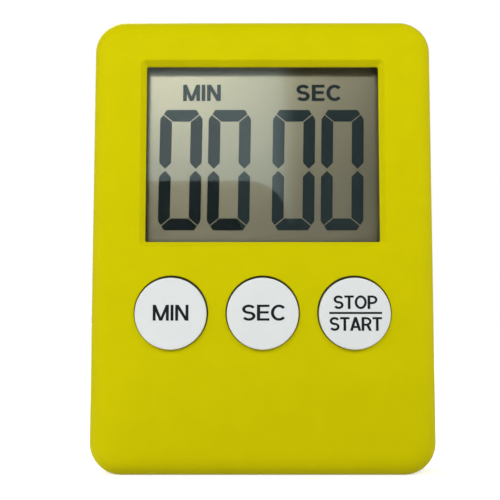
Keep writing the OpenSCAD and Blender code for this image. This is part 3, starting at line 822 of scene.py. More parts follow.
class Finish(Enum):
    """Finishes of the timer's pieces; the name in small letters is the material slot's."""

    CASE_PLASTIC = Moulded("lime_case", (0.64, 0.573, 0.0), roughness=0.5, specular=0.035,
                           spread=0.02, grain=0.4, grain_depth=0.010, wave_depth=0.03)
    # The caps carry painted shade on their sides inside the holes, from Y -5.12 inwards.
    CAP_PLASTIC = Moulded("cap_white", (0.79, 0.81, 0.82), roughness=0.33, specular=0.4,
                          spread=0.01, grain=0.5, grain_depth=0.003, wave=6.0, wave_depth=0.008,
                          gap_shade_from=-5.12)
    WHITE_PLASTIC = Moulded("frame_white", (0.82, 0.82, 0.78), roughness=0.5)
    CLEAR_PLASTIC = Pane("lens_clear", (0.985, 0.99, 0.985), gloss=0.045)
    DISPLAY_GLASS = Pane("cell_glass", (0.97, 0.98, 0.96), gloss=0.012)
    REFLECTOR_FILM = Reflector("reflector", (0.65, 0.56, 0.42), roughness=0.318, metallic=0.97)
    DARK_SEGMENTS = Printed("segments", (0.024, 0.038, 0.045))
    CAP_INK = Printed("ink", (0.007, 0.009, 0.011))
    SEAL_RESIN = Moulded("seal", (0.2, 0.22, 0.2), roughness=0.4, grain=0.2)
    STRIP_RUBBER = Moulded("strip", (0.62, 0.24, 0.30), roughness=0.7, grain=0.12, spread=0.2,
                           wave=0.4)
    BOARD = Moulded("solder_mask", (0.012, 0.14, 0.045), roughness=0.28, grain=0.25, spread=0.12)
    BLACK_RESIN = Moulded("resin", (0.015, 0.015, 0.017), roughness=0.35, grain=0.3)
    CAPACITOR_CERAMIC = Moulded("capacitor", (0.42, 0.29, 0.17), roughness=0.5, grain=0.1,
                                spread=0.08)
    KEYPAD_RUBBER = Moulded("silicone", (0.58, 0.59, 0.61), roughness=0.65, grain=0.2)
    CARBON_RUBBER = Moulded("carbon", (0.02, 0.02, 0.02), roughness=0.8, grain=0.15, spread=0.15)
    STEEL = Plated("zinc_steel", (0.50, 0.50, 0.51), roughness=0.32)
    NICKEL = Plated("nickel", (0.52, 0.51, 0.50), roughness=0.22)
    SPRING_BRONZE = Plated("bronze", (0.72, 0.60, 0.38))
    BRASS = Plated("brass", (0.75, 0.55, 0.22), roughness=0.28)
    PIEZO_CERAMIC = Moulded("piezo", (0.72, 0.71, 0.66), roughness=0.55, grain=0.15, spread=0.05)
    RED_INSULATION = Moulded("red_wire", (0.52, 0.02, 0.012), roughness=0.4, grain=0.2)
    BLACK_INSULATION = Moulded("black_wire", (0.02, 0.02, 0.02), roughness=0.4, grain=0.2)

    @property
    def slot(self) -> str:
        """Name of the material slot."""
        return self.name.lower()


class Dresser:
    """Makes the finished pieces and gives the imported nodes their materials."""

    def __init__(self) -> None:
        """Starts with no material made."""
        self._made: dict[Finish, bpy.types.Material] = {}

    def material(self, finish: Finish) -> bpy.types.Material:
        """Material of a finish, made once.

        Args:
            finish: The finish.

        Returns:
            Its material.
        """
        if finish not in self._made:
            self._made[finish] = finish.value.material()
        return self._made[finish]

    def piece(self, name: str, shell: Shell, finish: Finish, body: Body, *replaces: str,
              slot: Finish | None = None, sharp: float = 32.0) -> bpy.types.Object:
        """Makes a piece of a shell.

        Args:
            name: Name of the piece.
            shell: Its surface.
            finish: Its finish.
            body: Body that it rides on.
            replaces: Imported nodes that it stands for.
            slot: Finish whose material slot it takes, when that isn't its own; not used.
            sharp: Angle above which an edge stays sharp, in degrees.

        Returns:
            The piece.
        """
        mesh = shell.mesh(name, sharp)
        mesh.materials.append(self.material(finish))
        piece = bpy.data.objects.new(name, mesh)
        bpy.context.scene.collection.objects.link(piece)
        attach(piece, body.value)
        if replaces:
            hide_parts(*replaces)
        LOG.info("%s: %d faces on %s", name, len(mesh.polygons), body.value)
        return piece

    def dress(self, node: str, finish: Finish) -> None:
        """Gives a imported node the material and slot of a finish.

        Args:
            node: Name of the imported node.
            finish: The finish.
        """
        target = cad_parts[node]
        target.data.materials.clear()
        target.data.materials.append(self.material(finish))
        LOG.info("%s: packed node dressed in %s", node, finish.slot)


# ---------------------------------------------------------------- lettering


def bar(x0: float, y0: float, x1: float, y1: float, width: float) -> np.ndarray:
    """Straight stroke with level ends: a parallelogram.

    Args:
        x0: Middle of its lower end.
        y0: Height of its lower end.
        x1: Middle of its upper end.
        y1: Height of its upper end.
        width: Width, measured level.

    Returns:
        Its four points.
    """
    half = width / 2
    return np.array([(x0 - half, y0), (x0 + half, y0), (x1 + half, y1), (x1 - half, y1)])


def level(x0: float, x1: float, y: float, width: float) -> np.ndarray:
    """Level stroke from x0 to x1."""
    return bar((x0 + x1) / 2, y - width / 2, (x0 + x1) / 2, y + width / 2, x1 - x0)


def ribbon(line: np.ndarray, width: float) -> np.ndarray:
    """Band of a given width along a line.

    Each side lies half the width along the line's normal, taken from the chord between a
    point's two neighbours.

    Args:
        line: Points along the middle of the band.
        width: Width of the band.

    Returns:
        Closed polygon of the band.
    """
    chord = np.gradient(line, axis=0)
    normal = np.stack([-chord[:, 1], chord[:, 0]], -1) / np.linalg.norm(chord, axis=1)[:, None]
    return np.concatenate([line - normal * width / 2, (line + normal * width / 2)[::-1]])


# Widths of the letters in cap heights, and how much wider their slanted strokes are than a stem.
LETTER_WIDTHS = {"M": 0.90, "N": 0.74, "E": 0.63, "T": 0.64, "A": 0.76, "O": 0.82, "C": 0.76,
                 "S": 0.68, "P": 0.68, "R": 0.71}
SLANTED = {"M": 1.02, "N": 1.15, "A": 1.05, "R": 1.08}


@dataclass(frozen=True)
class Lettering:
    """Plain upright capitals, drawn in units of the cap height.

    The curved letters are elliptic arcs that leave room for half a stroke on each side. The
    bowl of P and R ends at the height of the foot.
    """

    stem: float
    thin: float
    steps: int = 14
    foot: float = 0.44

    def width(self, letter: str) -> float:
        """Width of a letter; that of an I is its stem's."""
        return LETTER_WIDTHS.get(letter, self.stem)

    def glyph(self, letter: str) -> list[np.ndarray]:
        """Polygons of one letter, which may cross.

        Args:
            letter: One of the capitals that the timer shows.

        Returns:
            The polygons.
        """
        s, t, w, h = self.stem, self.thin, self.width(letter), self.stem / 2
        leg, stroke, steps = s * SLANTED.get(letter, 1.0), (s + t) / 2, self.steps
        left, right = bar(h, 0, h, 1, s), bar(w - h, 0, w - h, 1, s)
        match letter:
            case "I":
                return [left]
            case "M":
                return [left, right, bar(w / 2, 0, leg / 2, 1, leg),
                        bar(w / 2, 0, w - leg / 2, 1, leg)]
            case "N":
                return [left, right, bar(w - leg / 2, 0, leg / 2, 1, leg)]
            case "E":
                return [left, level(h, w, t / 2, t), level(h, w - 0.04, 0.52, t),
                        level(h, w, 1 - t / 2, t)]
            case "T":
                return [bar(w / 2, 0, w / 2, 1, s), level(0, w, 1 - t / 2, t)]
            case "A":
                return [bar(leg / 2, 0, w / 2, 1, leg), bar(w - leg / 2, 0, w / 2, 1, leg),
                        level(w * 0.22, w * 0.78, 0.28, t)]
            case "O":
                radii = (w - s) / 2, (1 - t) / 2
                return [ribbon(ellipse_arc((w / 2, 0.5), radii, a, a + 190, 2 * steps), stroke)
                        for a in (-5, 175)]
            case "C":
                radii = (self.width("O") - s) / 2, (1 - t) / 2
                middle = (self.width("O") / 2, 0.5)
                return [ribbon(ellipse_arc(middle, radii, 42, 318, 2 * steps), stroke)]
            case "S":
                rx, ry = (w - s) / 2, (1 - t) / 4
                high = ellipse_arc((w / 2, 1 - t / 2 - ry), (rx, ry), 25, 245, steps)
                low = ellipse_arc((w / 2, t / 2 + ry), (rx, ry), 65, -155, steps)
                return [ribbon(np.concatenate([high, low]), stroke)]
        w, foot = self.width("P"), self.foot
        rx, ry = w * 0.44, (1 - t / 2 - foot) / 2
        bowl = ellipse_arc((w - h - rx, foot + ry), (rx, ry), 90, -90, steps)
        line = np.concatenate([[(h, 1 - t / 2)], bowl, [(h, foot)]])
        legs = [bar(w - h * 0.95, 0, w * 0.58, foot, leg)] if letter == "R" else []
        return [left, ribbon(line, t), *legs]

    def word(self, text: str, x: float, y: float, width: float, height: float,
             spacing: float) -> list[np.ndarray]:
        """Polygons of a word, stretched to a width and height.

        Args:
            text: The word, in capitals.
            x: Its middle.
            y: Its base line.
            width: Width over all, in millimetres.
            height: Height of a capital, in millimetres.
            spacing: Space between letters, in cap heights.

        Returns:
            One list of polygons for the whole word.
        """
        natural = sum(self.width(letter) for letter in text) + spacing * (len(text) - 1)
        scale = np.array([width / natural, height])
        polygons, pen = [], -natural / 2
        for letter in text:
            polygons += [(stroke + (pen, 0)) * scale + (x, y) for stroke in self.glyph(letter)]
            pen += self.width(letter) + spacing
        return polygons


# ---------------------------------------------------------------- the case


@dataclass
class Housing:
    """Front case and rear cover, with every opening that shows.

    An edge is the pair that Shell.opening() takes: the width of the level strip around the
    mouth, and the reach of the rounding. The other groups of sizes are:

    - magnet_pad: width of the pad around a magnet's pocket, and height of its top
    - door_ledge: depth of the ledge, which reaches in as far, and depth of its inner side
    - cup: faces of the cup's wall, outside the seat, and height of its top
    - recess_round: reach of the roundings at the tip and at the hinge of the recess
    - pocket_wall: width of the block beside, beyond and over the hinge's pocket
    """

    dresser: Dresser
    wall: float = 1.5
    corner: float = 5.5
    round_in: float = 4.0
    round_deep: float = 3.0
    round_strip: float = 0.15
    inner_round: float = 1.4
    inner_strip: float = 1.7
    seam: float = 0.12
    lens_lap: float = 1.6
    lens_foot: float = 3.2
    window_r: float = 0.35
    window_flare: float = 0.6
    bevel: float = 0.92
    bevel_foot: float = 0.12
    bevel_edge: Pair = (0.35, 0.2)
    bevel_soft: Pair = (0.12, 0.1)
    key_gap: float = 0.23
    key_edge: Pair = (0.4, 0.15)
    floor: float = 1.4
    rear_round: float = 1.0
    rear_strip: float = 0.12
    lip: float = 1.2
    lip_wall: float = 0.8
    lip_gap: float = 0.15
    magnet_gap: float = 0.05
    magnet_deep: float = 1.7
    magnet_pad: Pair = (0.95, 2.6)
    screw_gap: float = 0.2
    screw_sink: float = 1.3
    pocket_edge: Pair = (0.15, 0.1)
    sound_hole: float = 0.55
    sound_ring: float = 2.4
    sound_edge: Pair = (0.2, 0.15)
    door_edge: Pair = (0.25, 0.12)
    door_gap: float = 0.2
    door_ledge: Pair = (1.05, 1.8)
    cup: tuple[float, float, float] = (0.1, 1.0, 4.85)
    recess_gap: float = 0.3
    recess_deep: float = 2.0
    recess_edge: Pair = (0.3, 0.2)
    recess_round: Pair = (0.4, 0.3)
    pocket_gap: float = 0.4
    pocket_deep: float = 2.72
    pocket_wall: tuple[float, float, float] = (1.6, 1.0, 0.8)
    block_foot: float = 2.6
    block_r: float = 0.3
    scoop: float = 4.5
    scoop_up: float = 0.7
    scoop_deep: float = 1.3
    case: NodeBox = field(default_factory=lambda: NodeBox.of("front_case"))
    cover: NodeBox = field(default_factory=lambda: NodeBox.of("rear_cover"))
    lens: NodeBox = field(default_factory=lambda: NodeBox.of("window_lens"))
    stand: NodeBox = field(default_factory=lambda: NodeBox.of("stand"))

    @property
    def outline(self) -> Slab:
        """Outline of the case, seen from the front."""
        return Slab(self.case.x0, self.case.x1, self.case.y0, self.case.y1, self.corner, steps=14)

    @property
    def window(self) -> Slab:
        """Opening of the window; its corners open out more slowly than its sides.

        Returns:
            Its outline.
        """
        return Slab(self.lens.x0 + self.lens_lap, self.lens.x1 - self.lens_lap,
                    self.lens.y0 + self.lens_foot, self.lens.y1 - self.lens_lap,
                    self.window_r, flare=self.window_flare)

    @property
    def key_holes(self) -> list[Circle]:
        """Holes around the three caps.

        Returns:
            Their outlines, from left to right.
        """
        boxes = [NodeBox.of(f"{key}_button") for key in ("min", "sec", "start_stop")]
        return [Circle(box.centre[0], box.y1 - Keys.flange_r, Keys.cap_r + self.key_gap, steps=96)
                for box in boxes]

    @property
    def magnet_seats(self) -> list[Circle]:
        """Pockets around the two magnets.

        Returns:
            Their outlines.
        """
        box = NodeBox.of("magnets")
        return [Circle(x, box.centre[1], box.half_height + self.magnet_gap)
                for x in (box.x0 + box.half_height, box.x1 - box.half_height)]

    @property
    def screw_seats(self) -> list[Circle]:
        """Counterbores of the four case screws.

        Returns:
            Their outlines.
        """
        head = Fittings.screw_head
        return [Circle(x, y, head + self.screw_gap, steps=36)
                for x, y in NodeBox.of("case_screws").corners(head)]

    @property
    def sound_holes(self) -> list[Circle]:
        """Hole in the middle of the buzzer and six around it.

        Returns:
            The seven holes.
        """
        centre = NodeBox.of("piezo_disc").centre
        ring = ellipse_arc(centre, (self.sound_ring,) * 2, 0, 300, 5)
        return [Circle(*point, self.sound_hole, steps=20) for point in [centre, *ring]]

    @property
    def hinge_step(self) -> float:
        """Place along y at which the stand's recess steps down into the hinge's pocket."""
        return self.stand.y1 - Fittings.heel - Fittings.stand_thick / 2

    def front(self) -> Shell:
        """Front case.

        The outer profile runs up the side and turns over the edge on a quarter ellipse. The
        window's profile falls down the bevel and the wall behind it; each key hole has its own
        small rounding. The inside follows the outside at the thickness of the wall.

        Returns:
            The shell.
        """
        rim, top, inner = self.case.z0, self.case.z1, self.case.z1 - self.wall
        edge = ellipse_arc((-self.round_in, top - self.round_deep),
                           (self.round_in, self.round_deep), 0, 90, 18)
        side = [(-self.wall, rim), (-self.seam, rim), (0, rim + self.seam)]
        strip, soft = self.bevel_edge
        foot = top - self.bevel
        bevel = soften([(self.bevel + strip, top), (self.bevel, top), (self.bevel_foot, foot),
                        (0, foot - self.bevel_foot), (0, inner)], [0, soft, *self.bevel_soft, 0])
        inside_wall = soften([(-self.wall - self.inner_strip, inner), (-self.wall, inner),
                              (-self.wall, rim)], [0, self.inner_round, 0])
        shell = Shell()
        outside = -self.round_in - self.round_strip
        shell.sweep(self.outline, np.concatenate([side, edge, [(outside, top)]]))
        shell.sweep(self.window, bevel)
        mouths = [shell.opening(key, self.key_edge, top, inner) for key in self.key_holes]
        shell.flat(top, self.outline.ring(outside), self.window.ring(bevel[0, 0]), *mouths)
        shell.flat(inner, self.outline.ring(inside_wall[0, 0]), self.window.ring(),
                   *(key.ring() for key in self.key_holes))
        shell.sweep(self.outline, inside_wall)
        return shell

    def rear(self) -> Shell:
        """Rear cover.

        Every opening of the rear plane has a small rounding and its own walls and floor. The
        stand's recess has three floors: the finger scoop, the recess and the hinge's pocket.

        Returns:
            The shell.
        """
        rim, r = self.case.z0, self.rear_round
        lip_top = self.cover.z0 + rim + self.lip
        lip_out = -(self.wall + self.lip_gap)
        lip_in = lip_out - self.lip_wall
        side = [(lip_in, self.floor), (lip_in, lip_top), (lip_out, lip_top), (lip_out, rim),
                (-self.seam, rim), (0, rim - self.seam)]
        edge = ellipse_arc((-r, r), (r, r), 0, -90, 8)
        outside = -r - self.rear_strip
        shell = Shell()
        shell.sweep(self.outline, np.concatenate([side, edge, [(outside, 0)]]))
        pad_out, pad_top = self.magnet_pad
        pads = [Circle(seat.x, seat.y, seat.r + pad_out).ring() for seat in self.magnet_seats]
        mouths = [shell.opening(seat, self.pocket_edge, 0, self.magnet_deep, blind=True)
                  for seat in self.magnet_seats]
        mouths += [shell.opening(seat, self.pocket_edge, 0, self.screw_sink, blind=True)
                   for seat in self.screw_seats]
        mouths += [shell.opening(hole, self.sound_edge, 0, self.floor)
                   for hole in self.sound_holes]
        door_mouth, door_foot = self._door_seat(shell)
        recess_mouth, recess_foot = self._recess(shell)
        feet = [shell.capped(pad, self.floor, pad_top) for pad in pads]
        feet += [hole.ring() for hole in self.sound_holes]
        shell.flat(0, self.outline.ring(outside), door_mouth, recess_mouth, *mouths)
        shell.flat(self.floor, self.outline.ring(lip_in), door_foot, recess_foot, *feet)
        return shell

    def _door_seat(self, shell: Shell) -> tuple[np.ndarray, np.ndarray]:
        """Seat of the door, the ledge that its lugs pass and the cup around the cell.

        Args:
            shell: The rear cover.

        Returns:
            The seat's mouth in the rear plane and the cup's foot on the floor.
        """
        seat = Circle(*NodeBox.of("battery_door").centre, Fittings.door_r, steps=96)
        (strip, soft), gap = self.door_edge, self.door_gap
        (ledge, under), (cup_in, cup_out, cup_top) = self.door_ledge, self.cup
        corners = [(gap + strip, 0), (gap, 0), (gap, ledge), (-ledge, ledge), (-ledge, under),
                   (cup_in, under), (cup_in, cup_top), (cup_out, cup_top), (cup_out, self.floor)]
        shell.sweep(seat, soften(corners, [0, soft] + [0] * 7))
        return seat.ring(gap + strip), seat.ring(cup_out)

    def recess_line(self) -> tuple[np.ndarray, np.ndarray]:
        """Outline of the stand's recess.

        Returns:
            The rectangle's part, from one end of the finger scoop round to the other, and the
            scoop's arc, from that end back to the first.
        """
        half, step = Fittings.stand_half + self.recess_gap, self.hinge_step
        y0, y1 = self.stand.y0 - self.recess_gap, self.stand.y1 + self.pocket_gap
        middle = self.stand.y0 + self.scoop_up
        mouth = math.sqrt(self.scoop ** 2 - (middle - y0) ** 2)
        angle = math.degrees(math.atan2(middle - y0, mouth))
        tip, hinge = self.recess_round
        box = soften([(mouth, y0), (half, y0), (half, step), (half, y1),
                      (-half, y1), (-half, step), (-half, y0), (-mouth, y0)],
                     [0, tip, 0, hinge, hinge, 0, tip, 0], steps=4)
        return box, ellipse_arc((0, middle), (self.scoop,) * 2, 180 + angle, 360 - angle, 24)

    def _recess(self, shell: Shell) -> tuple[np.ndarray, np.ndarray]:
        """Recess of the stand with its finger scoop and hinge pocket, and the block around it.

        Args:
            shell: The rear cover.

        Returns:
            The recess's mouth in the rear plane and the block's foot on the floor.
        """
        box, arc = self.recess_line()
        top = self.recess_edge[0]
        mouth = shell.opening(Polygon(np.concatenate([box, arc[1:-1]])), self.recess_edge, 0, top)
        shell.wall(arc, top, self.scoop_deep)
        shell.flat(self.scoop_deep, arc)
        shell.wall(arc[[0, -1]], self.scoop_deep, self.recess_deep)
        shell.wall(box, top, self.recess_deep)
        rise = box[:, 1] - self.hinge_step
        below, above = rise < WELD, rise > -WELD
        shell.flat(self.recess_deep, np.concatenate([box[below & (box[:, 0] > 0)],
                                                     box[below & (box[:, 0] < 0)]]))
        shell.capped(box[above], self.recess_deep, self.pocket_deep)
        beside, beyond, over = self.pocket_wall
        half = Fittings.stand_half + self.recess_gap + beside
        block = Slab(-half, half, self.block_foot, box[:, 1].max() + beyond, self.block_r, steps=2)
        return mouth, shell.capped(block.ring(), self.floor, self.pocket_deep + over)

    def build(self) -> None:
        """Makes both mouldings."""
        piece = self.dresser.piece
        piece("front_shell", self.front(), Finish.CASE_PLASTIC, Body.CASE, "front_case")
        piece("rear_shell", self.rear(), Finish.CASE_PLASTIC, Body.CASE, "rear_cover")


# ---------------------------------------------------------------- the buttons


@dataclass
class Keys:
    """Three round caps with their legends, and the rubber domes behind them.

    The divider between two words holds what level() takes: two ends, a height and a width.
    """

    dresser: Dresser
    cap_r: float = 6.16
    cap_wall: float = 1.0
    cap_round: float = 0.3
    cap_strip: float = 1.2
    cap_play: float = 0.15
    flange_r: float = 7.2
    flange_t: float = 0.7
    flange_flat: float = 6.5
    flange_drop: float = 1.6
    plunger_r: float = 2.4
    ink: float = 0.03
    ink_gap: float = 0.01
    dome_r: float = 5.4
    dome_foot: float = 1.2
    dome_web: float = 0.45
    dome_top_r: float = 3.2
    dome_roof: float = 0.5
    dome_rise: float = 0.3
    dome_pole: float = 0.3
    sheet_t: float = 0.6
    divider: tuple[float, float, float, float] = (-4.4, 4.6, 0.12, 0.34)
    large: Lettering = field(default_factory=lambda: Lettering(stem=0.162, thin=0.145))
    small: Lettering = field(default_factory=lambda: Lettering(stem=0.178, thin=0.155))

    def axis(self, box: NodeBox) -> Pair:
        """Middle of a cap, which sits low in its hole by the play."""
        return box.centre[0], box.y1 - self.flange_r - self.cap_play

    def cap(self, node: str) -> Shell:
        """Cap: a profile turned about its axis, with one flat on the flange.

        The flat lifts every point of the flange that lies below it up to it.

        Args:
            node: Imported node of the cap.

        Returns:
            The shell.
        """
        box = NodeBox.of(node)
        top, roof = box.z1 - self.ink - self.ink_gap, box.z1 - self.cap_wall
        base = NodeBox.of("front_case").z1 - self.flange_drop - self.flange_t
        r, wide, small = self.cap_r, self.flange_r, self.cap_r - self.cap_wall
        shoulder = base + self.flange_t
        profile = soften([(self.plunger_r, box.z0), (self.plunger_r, roof), (small, roof),
                          (small, base), (wide, base), (wide, shoulder), (r, shoulder), (r, top),
                          (r - self.cap_strip, top)], [0] * 7 + [self.cap_round, 0], steps=7)
        axis = Circle(*self.axis(box), steps=96)
        grid = Shell.swept(axis, profile)
        lowest = np.where(grid[..., 2] < shoulder + WELD, axis.y - self.flange_flat, -np.inf)
        grid[..., 1] = np.maximum(grid[..., 1], lowest)
        shell = Shell()
        shell.grid(grid)
        shell.flat(top, axis.ring(profile[-1, 0]))
        shell.flat(box.z0, axis.ring(self.plunger_r))
        return shell

    def legend(self, node: str, polygons: list[np.ndarray]) -> Shell:
        """Ink of a cap: a thin prism over the drawn area.

        Args:
            node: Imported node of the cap.
            polygons: The drawing, around the cap's middle.

        Returns:
            The shell.
        """
        box = NodeBox.of(node)
        shell = Shell()
        shell.prism(*area([polygon + self.axis(box) for polygon in polygons]),
                    box.z1 - self.ink - 2 * self.ink_gap, box.z1 - self.ink_gap)
        return shell

    def dome(self, node: str) -> Shell:
        """Rubber dome: its closed section turned about the key's axis.

        Args:
            node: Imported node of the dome.

        Returns:
            The shell.
        """
        box = NodeBox.of(node)
        r, foot, top_r = self.dome_r, self.dome_r - self.dome_foot, self.dome_top_r
        z0, top, roof, pole = box.z0, box.z1, box.z1 - self.dome_roof, self.dome_pole
        over = [(r, z0), (r, z0 + self.sheet_t), (foot + self.dome_web, z0 + self.sheet_t),
                (top_r, roof), (top_r, top), (pole, top)]
        under = [(pole, roof), (top_r - self.dome_web, roof), (foot, z0 + self.dome_rise),
                 (foot, z0), (r, z0)]
        axis = Circle(*box.centre, steps=48)
        shell = Shell()
        for section in (over, under):
            shell.sweep(axis, np.array(section))
        for z in (top, roof):
            shell.flat(z, axis.ring(pole))
        return shell

    def squash(self, rubber: bpy.types.Object) -> None:
        """Gives a dome's piece a mesh of its own; the dome keeps its shape.

        Args:
            rubber: The dome's piece.
        """
        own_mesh(rubber)

    def build(self) -> None:
        """Makes the caps, their legends and the domes.

        Each word has its middle, base line, width, height and spacing, around its cap's middle.
        """
        stop_start = (self.small.word("STOP", 0.1, 0.80, 7.55, 2.3, 0.05)
                      + self.small.word("START", 0.1, -2.91, 8.95, 2.32, 0.03)
                      + [level(*self.divider)])
        drawn = {
            "min": (Body.MIN_KEY, self.large.word("MIN", 0.05, -1.19, 6.1, 2.70, 0.10)),
            "sec": (Body.SEC_KEY, self.large.word("SEC", 0.22, -1.19, 7.5, 2.72, 0.07)),
            "start_stop": (Body.START_STOP_KEY, stop_start),
        }
        piece = self.dresser.piece
        for key, (body, polygons) in drawn.items():
            node, dome = f"{key}_button", f"{key}_dome"
            piece(f"{key}_cap", self.cap(node), Finish.CAP_PLASTIC, body, node)
            piece(f"{key}_legend", self.legend(node, polygons), Finish.CAP_INK, body,
                  slot=Finish.DARK_SEGMENTS)
            rubber = piece(f"{key}_rubber", self.dome(dome), Finish.KEYPAD_RUBBER, Body.CASE, dome)
            self.squash(rubber)


# ---------------------------------------------------------------- the display


@dataclass
class Display:
    """Lens, display glass, lit segments and their legends."""

    dresser: Dresser
    digit_w: float = 7.6
    digit_h: float = 21.8
    digit_pitch: float = 8.73
    pair_pitch: float = 20.3
    segment_w: float = 2.11
    digit_shift: Pair = (-0.22, 0.33)
    segment_gap: float = 0.2
    chamfer: Pair = (1.15, 1.7)
    slant: float = 0.85
    legend_h: float = 2.96
    legend_rise: float = 2.1
    legend_space: float = 0.09
    lens_corner: float = 0.5
    glass_corner: float = 0.2
    broken_edge: float = 0.06
    letters: Lettering = field(default_factory=lambda: Lettering(stem=0.195, thin=0.17))
    crystal: NodeBox = field(default_factory=lambda: NodeBox.of("digit_segments"))

    def segments(self) -> list[np.ndarray]:
        """Six lit segments of a zero, as polygons around its middle.

        A quarter is drawn with its corner at (0, 0): the end bar and half a side bar meet along
        the diagonal with a gap, and the side bar ends in a point at mid height. The others
        follow by turning x and y round.

        Returns:
            The polygons.
        """
        w, g, (across, along) = self.segment_w, self.segment_gap / math.sqrt(2), self.chamfer
        middle = np.array([across, along]) / 2
        half_gap = (np.array([across, -along]) / math.hypot(across, along)
                    * self.segment_gap / 2)
        upper, lower = middle + half_gap, middle - half_gap
        tip = self.digit_h / 2 - self.segment_gap
        end = np.array([upper, (across, 0), (self.digit_w - across, 0),
                        (self.digit_w - upper[0], upper[1]), (self.digit_w - w - g, w), (w + g, w)])
        side = np.array([lower, (0, along), (0, tip - w / 2), (w / 2, tip), (w, tip - w / 2),
                         (w, w + g)])
        corner = np.array([-self.digit_w / 2, -self.digit_h / 2])
        quarter = [end + corner, side + corner, (side + corner) * (-1, 1)]
        return [polygon * (1, flip) for polygon in quarter for flip in (1, -1)]

    def digits(self) -> Shell:
        """Four zeros in the crystal layer, leaning by the slant: x grows by tan(slant) y.

        Returns:
            The shell.
        """
        lean = np.array([(1, 0), (math.tan(math.radians(self.slant)), 1)])
        centre_x, centre_y = np.add(self.crystal.centre, self.digit_shift)
        shell = Shell()
        for pair in (-0.5, 0.5):
            for place in (-0.5, 0.5):
                middle = (centre_x + pair * self.pair_pitch + place * self.digit_pitch, centre_y)
                for polygon in self.segments():
                    shell.prism(*area([polygon @ lean + middle]), self.crystal.z0, self.crystal.z1)
        return shell

    def legends(self) -> Shell:
        """Words over the two pairs, in the crystal layer.

        Returns:
            The shell.
        """
        words = [self.letters.word(text, x, self.crystal.y1 + self.legend_rise, width,
                                   self.legend_h, self.legend_space)
                 for text, x, width in (("MIN", -10.92, 6.8), ("SEC", 10.2, 8.2))]
        shell = Shell()
        shell.prism(*area(words[0] + words[1]), self.crystal.z0, self.crystal.z1)
        return shell

    def sheet(self, low: str, high: str, corner: float) -> Shell:
        """Flat sheet with broken edges.

        Args:
            low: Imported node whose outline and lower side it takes.
            high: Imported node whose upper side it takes.
            corner: Radius of its corners.

        Returns:
            The shell.
        """
        base, edge, z1 = NodeBox.of(low), self.broken_edge, NodeBox.of(high).z1
        shell = Shell()
        shell.solid(Slab(base.x0, base.x1, base.y0, base.y1, corner, steps=4),
                    np.array([(-edge, base.z0), (0, base.z0 + edge), (0, z1 - edge), (-edge, z1)]))
        return shell

    def build(self) -> None:
        """Makes the display's pieces from the lens backwards."""
        piece = self.dresser.piece
        piece("lens_pane", self.sheet("window_lens", "window_lens", self.lens_corner),
              Finish.CLEAR_PLASTIC, Body.CASE, "window_lens")
        piece("cell_front", self.sheet("front_glass", "front_polariser", self.glass_corner),
              Finish.DISPLAY_GLASS, Body.CASE, "front_glass", "front_polariser")
        piece("cell_rear", self.sheet("rear_polariser", "rear_glass", self.glass_corner),
              Finish.REFLECTOR_FILM, Body.CASE, "rear_glass", "rear_polariser")
        piece("lit_digits", self.digits(), Finish.DARK_SEGMENTS, Body.CASE, "digit_segments")
        piece("lit_legends", self.legends(), Finish.DARK_SEGMENTS, Body.CASE)


# ---------------------------------------------------------------- rear fittings


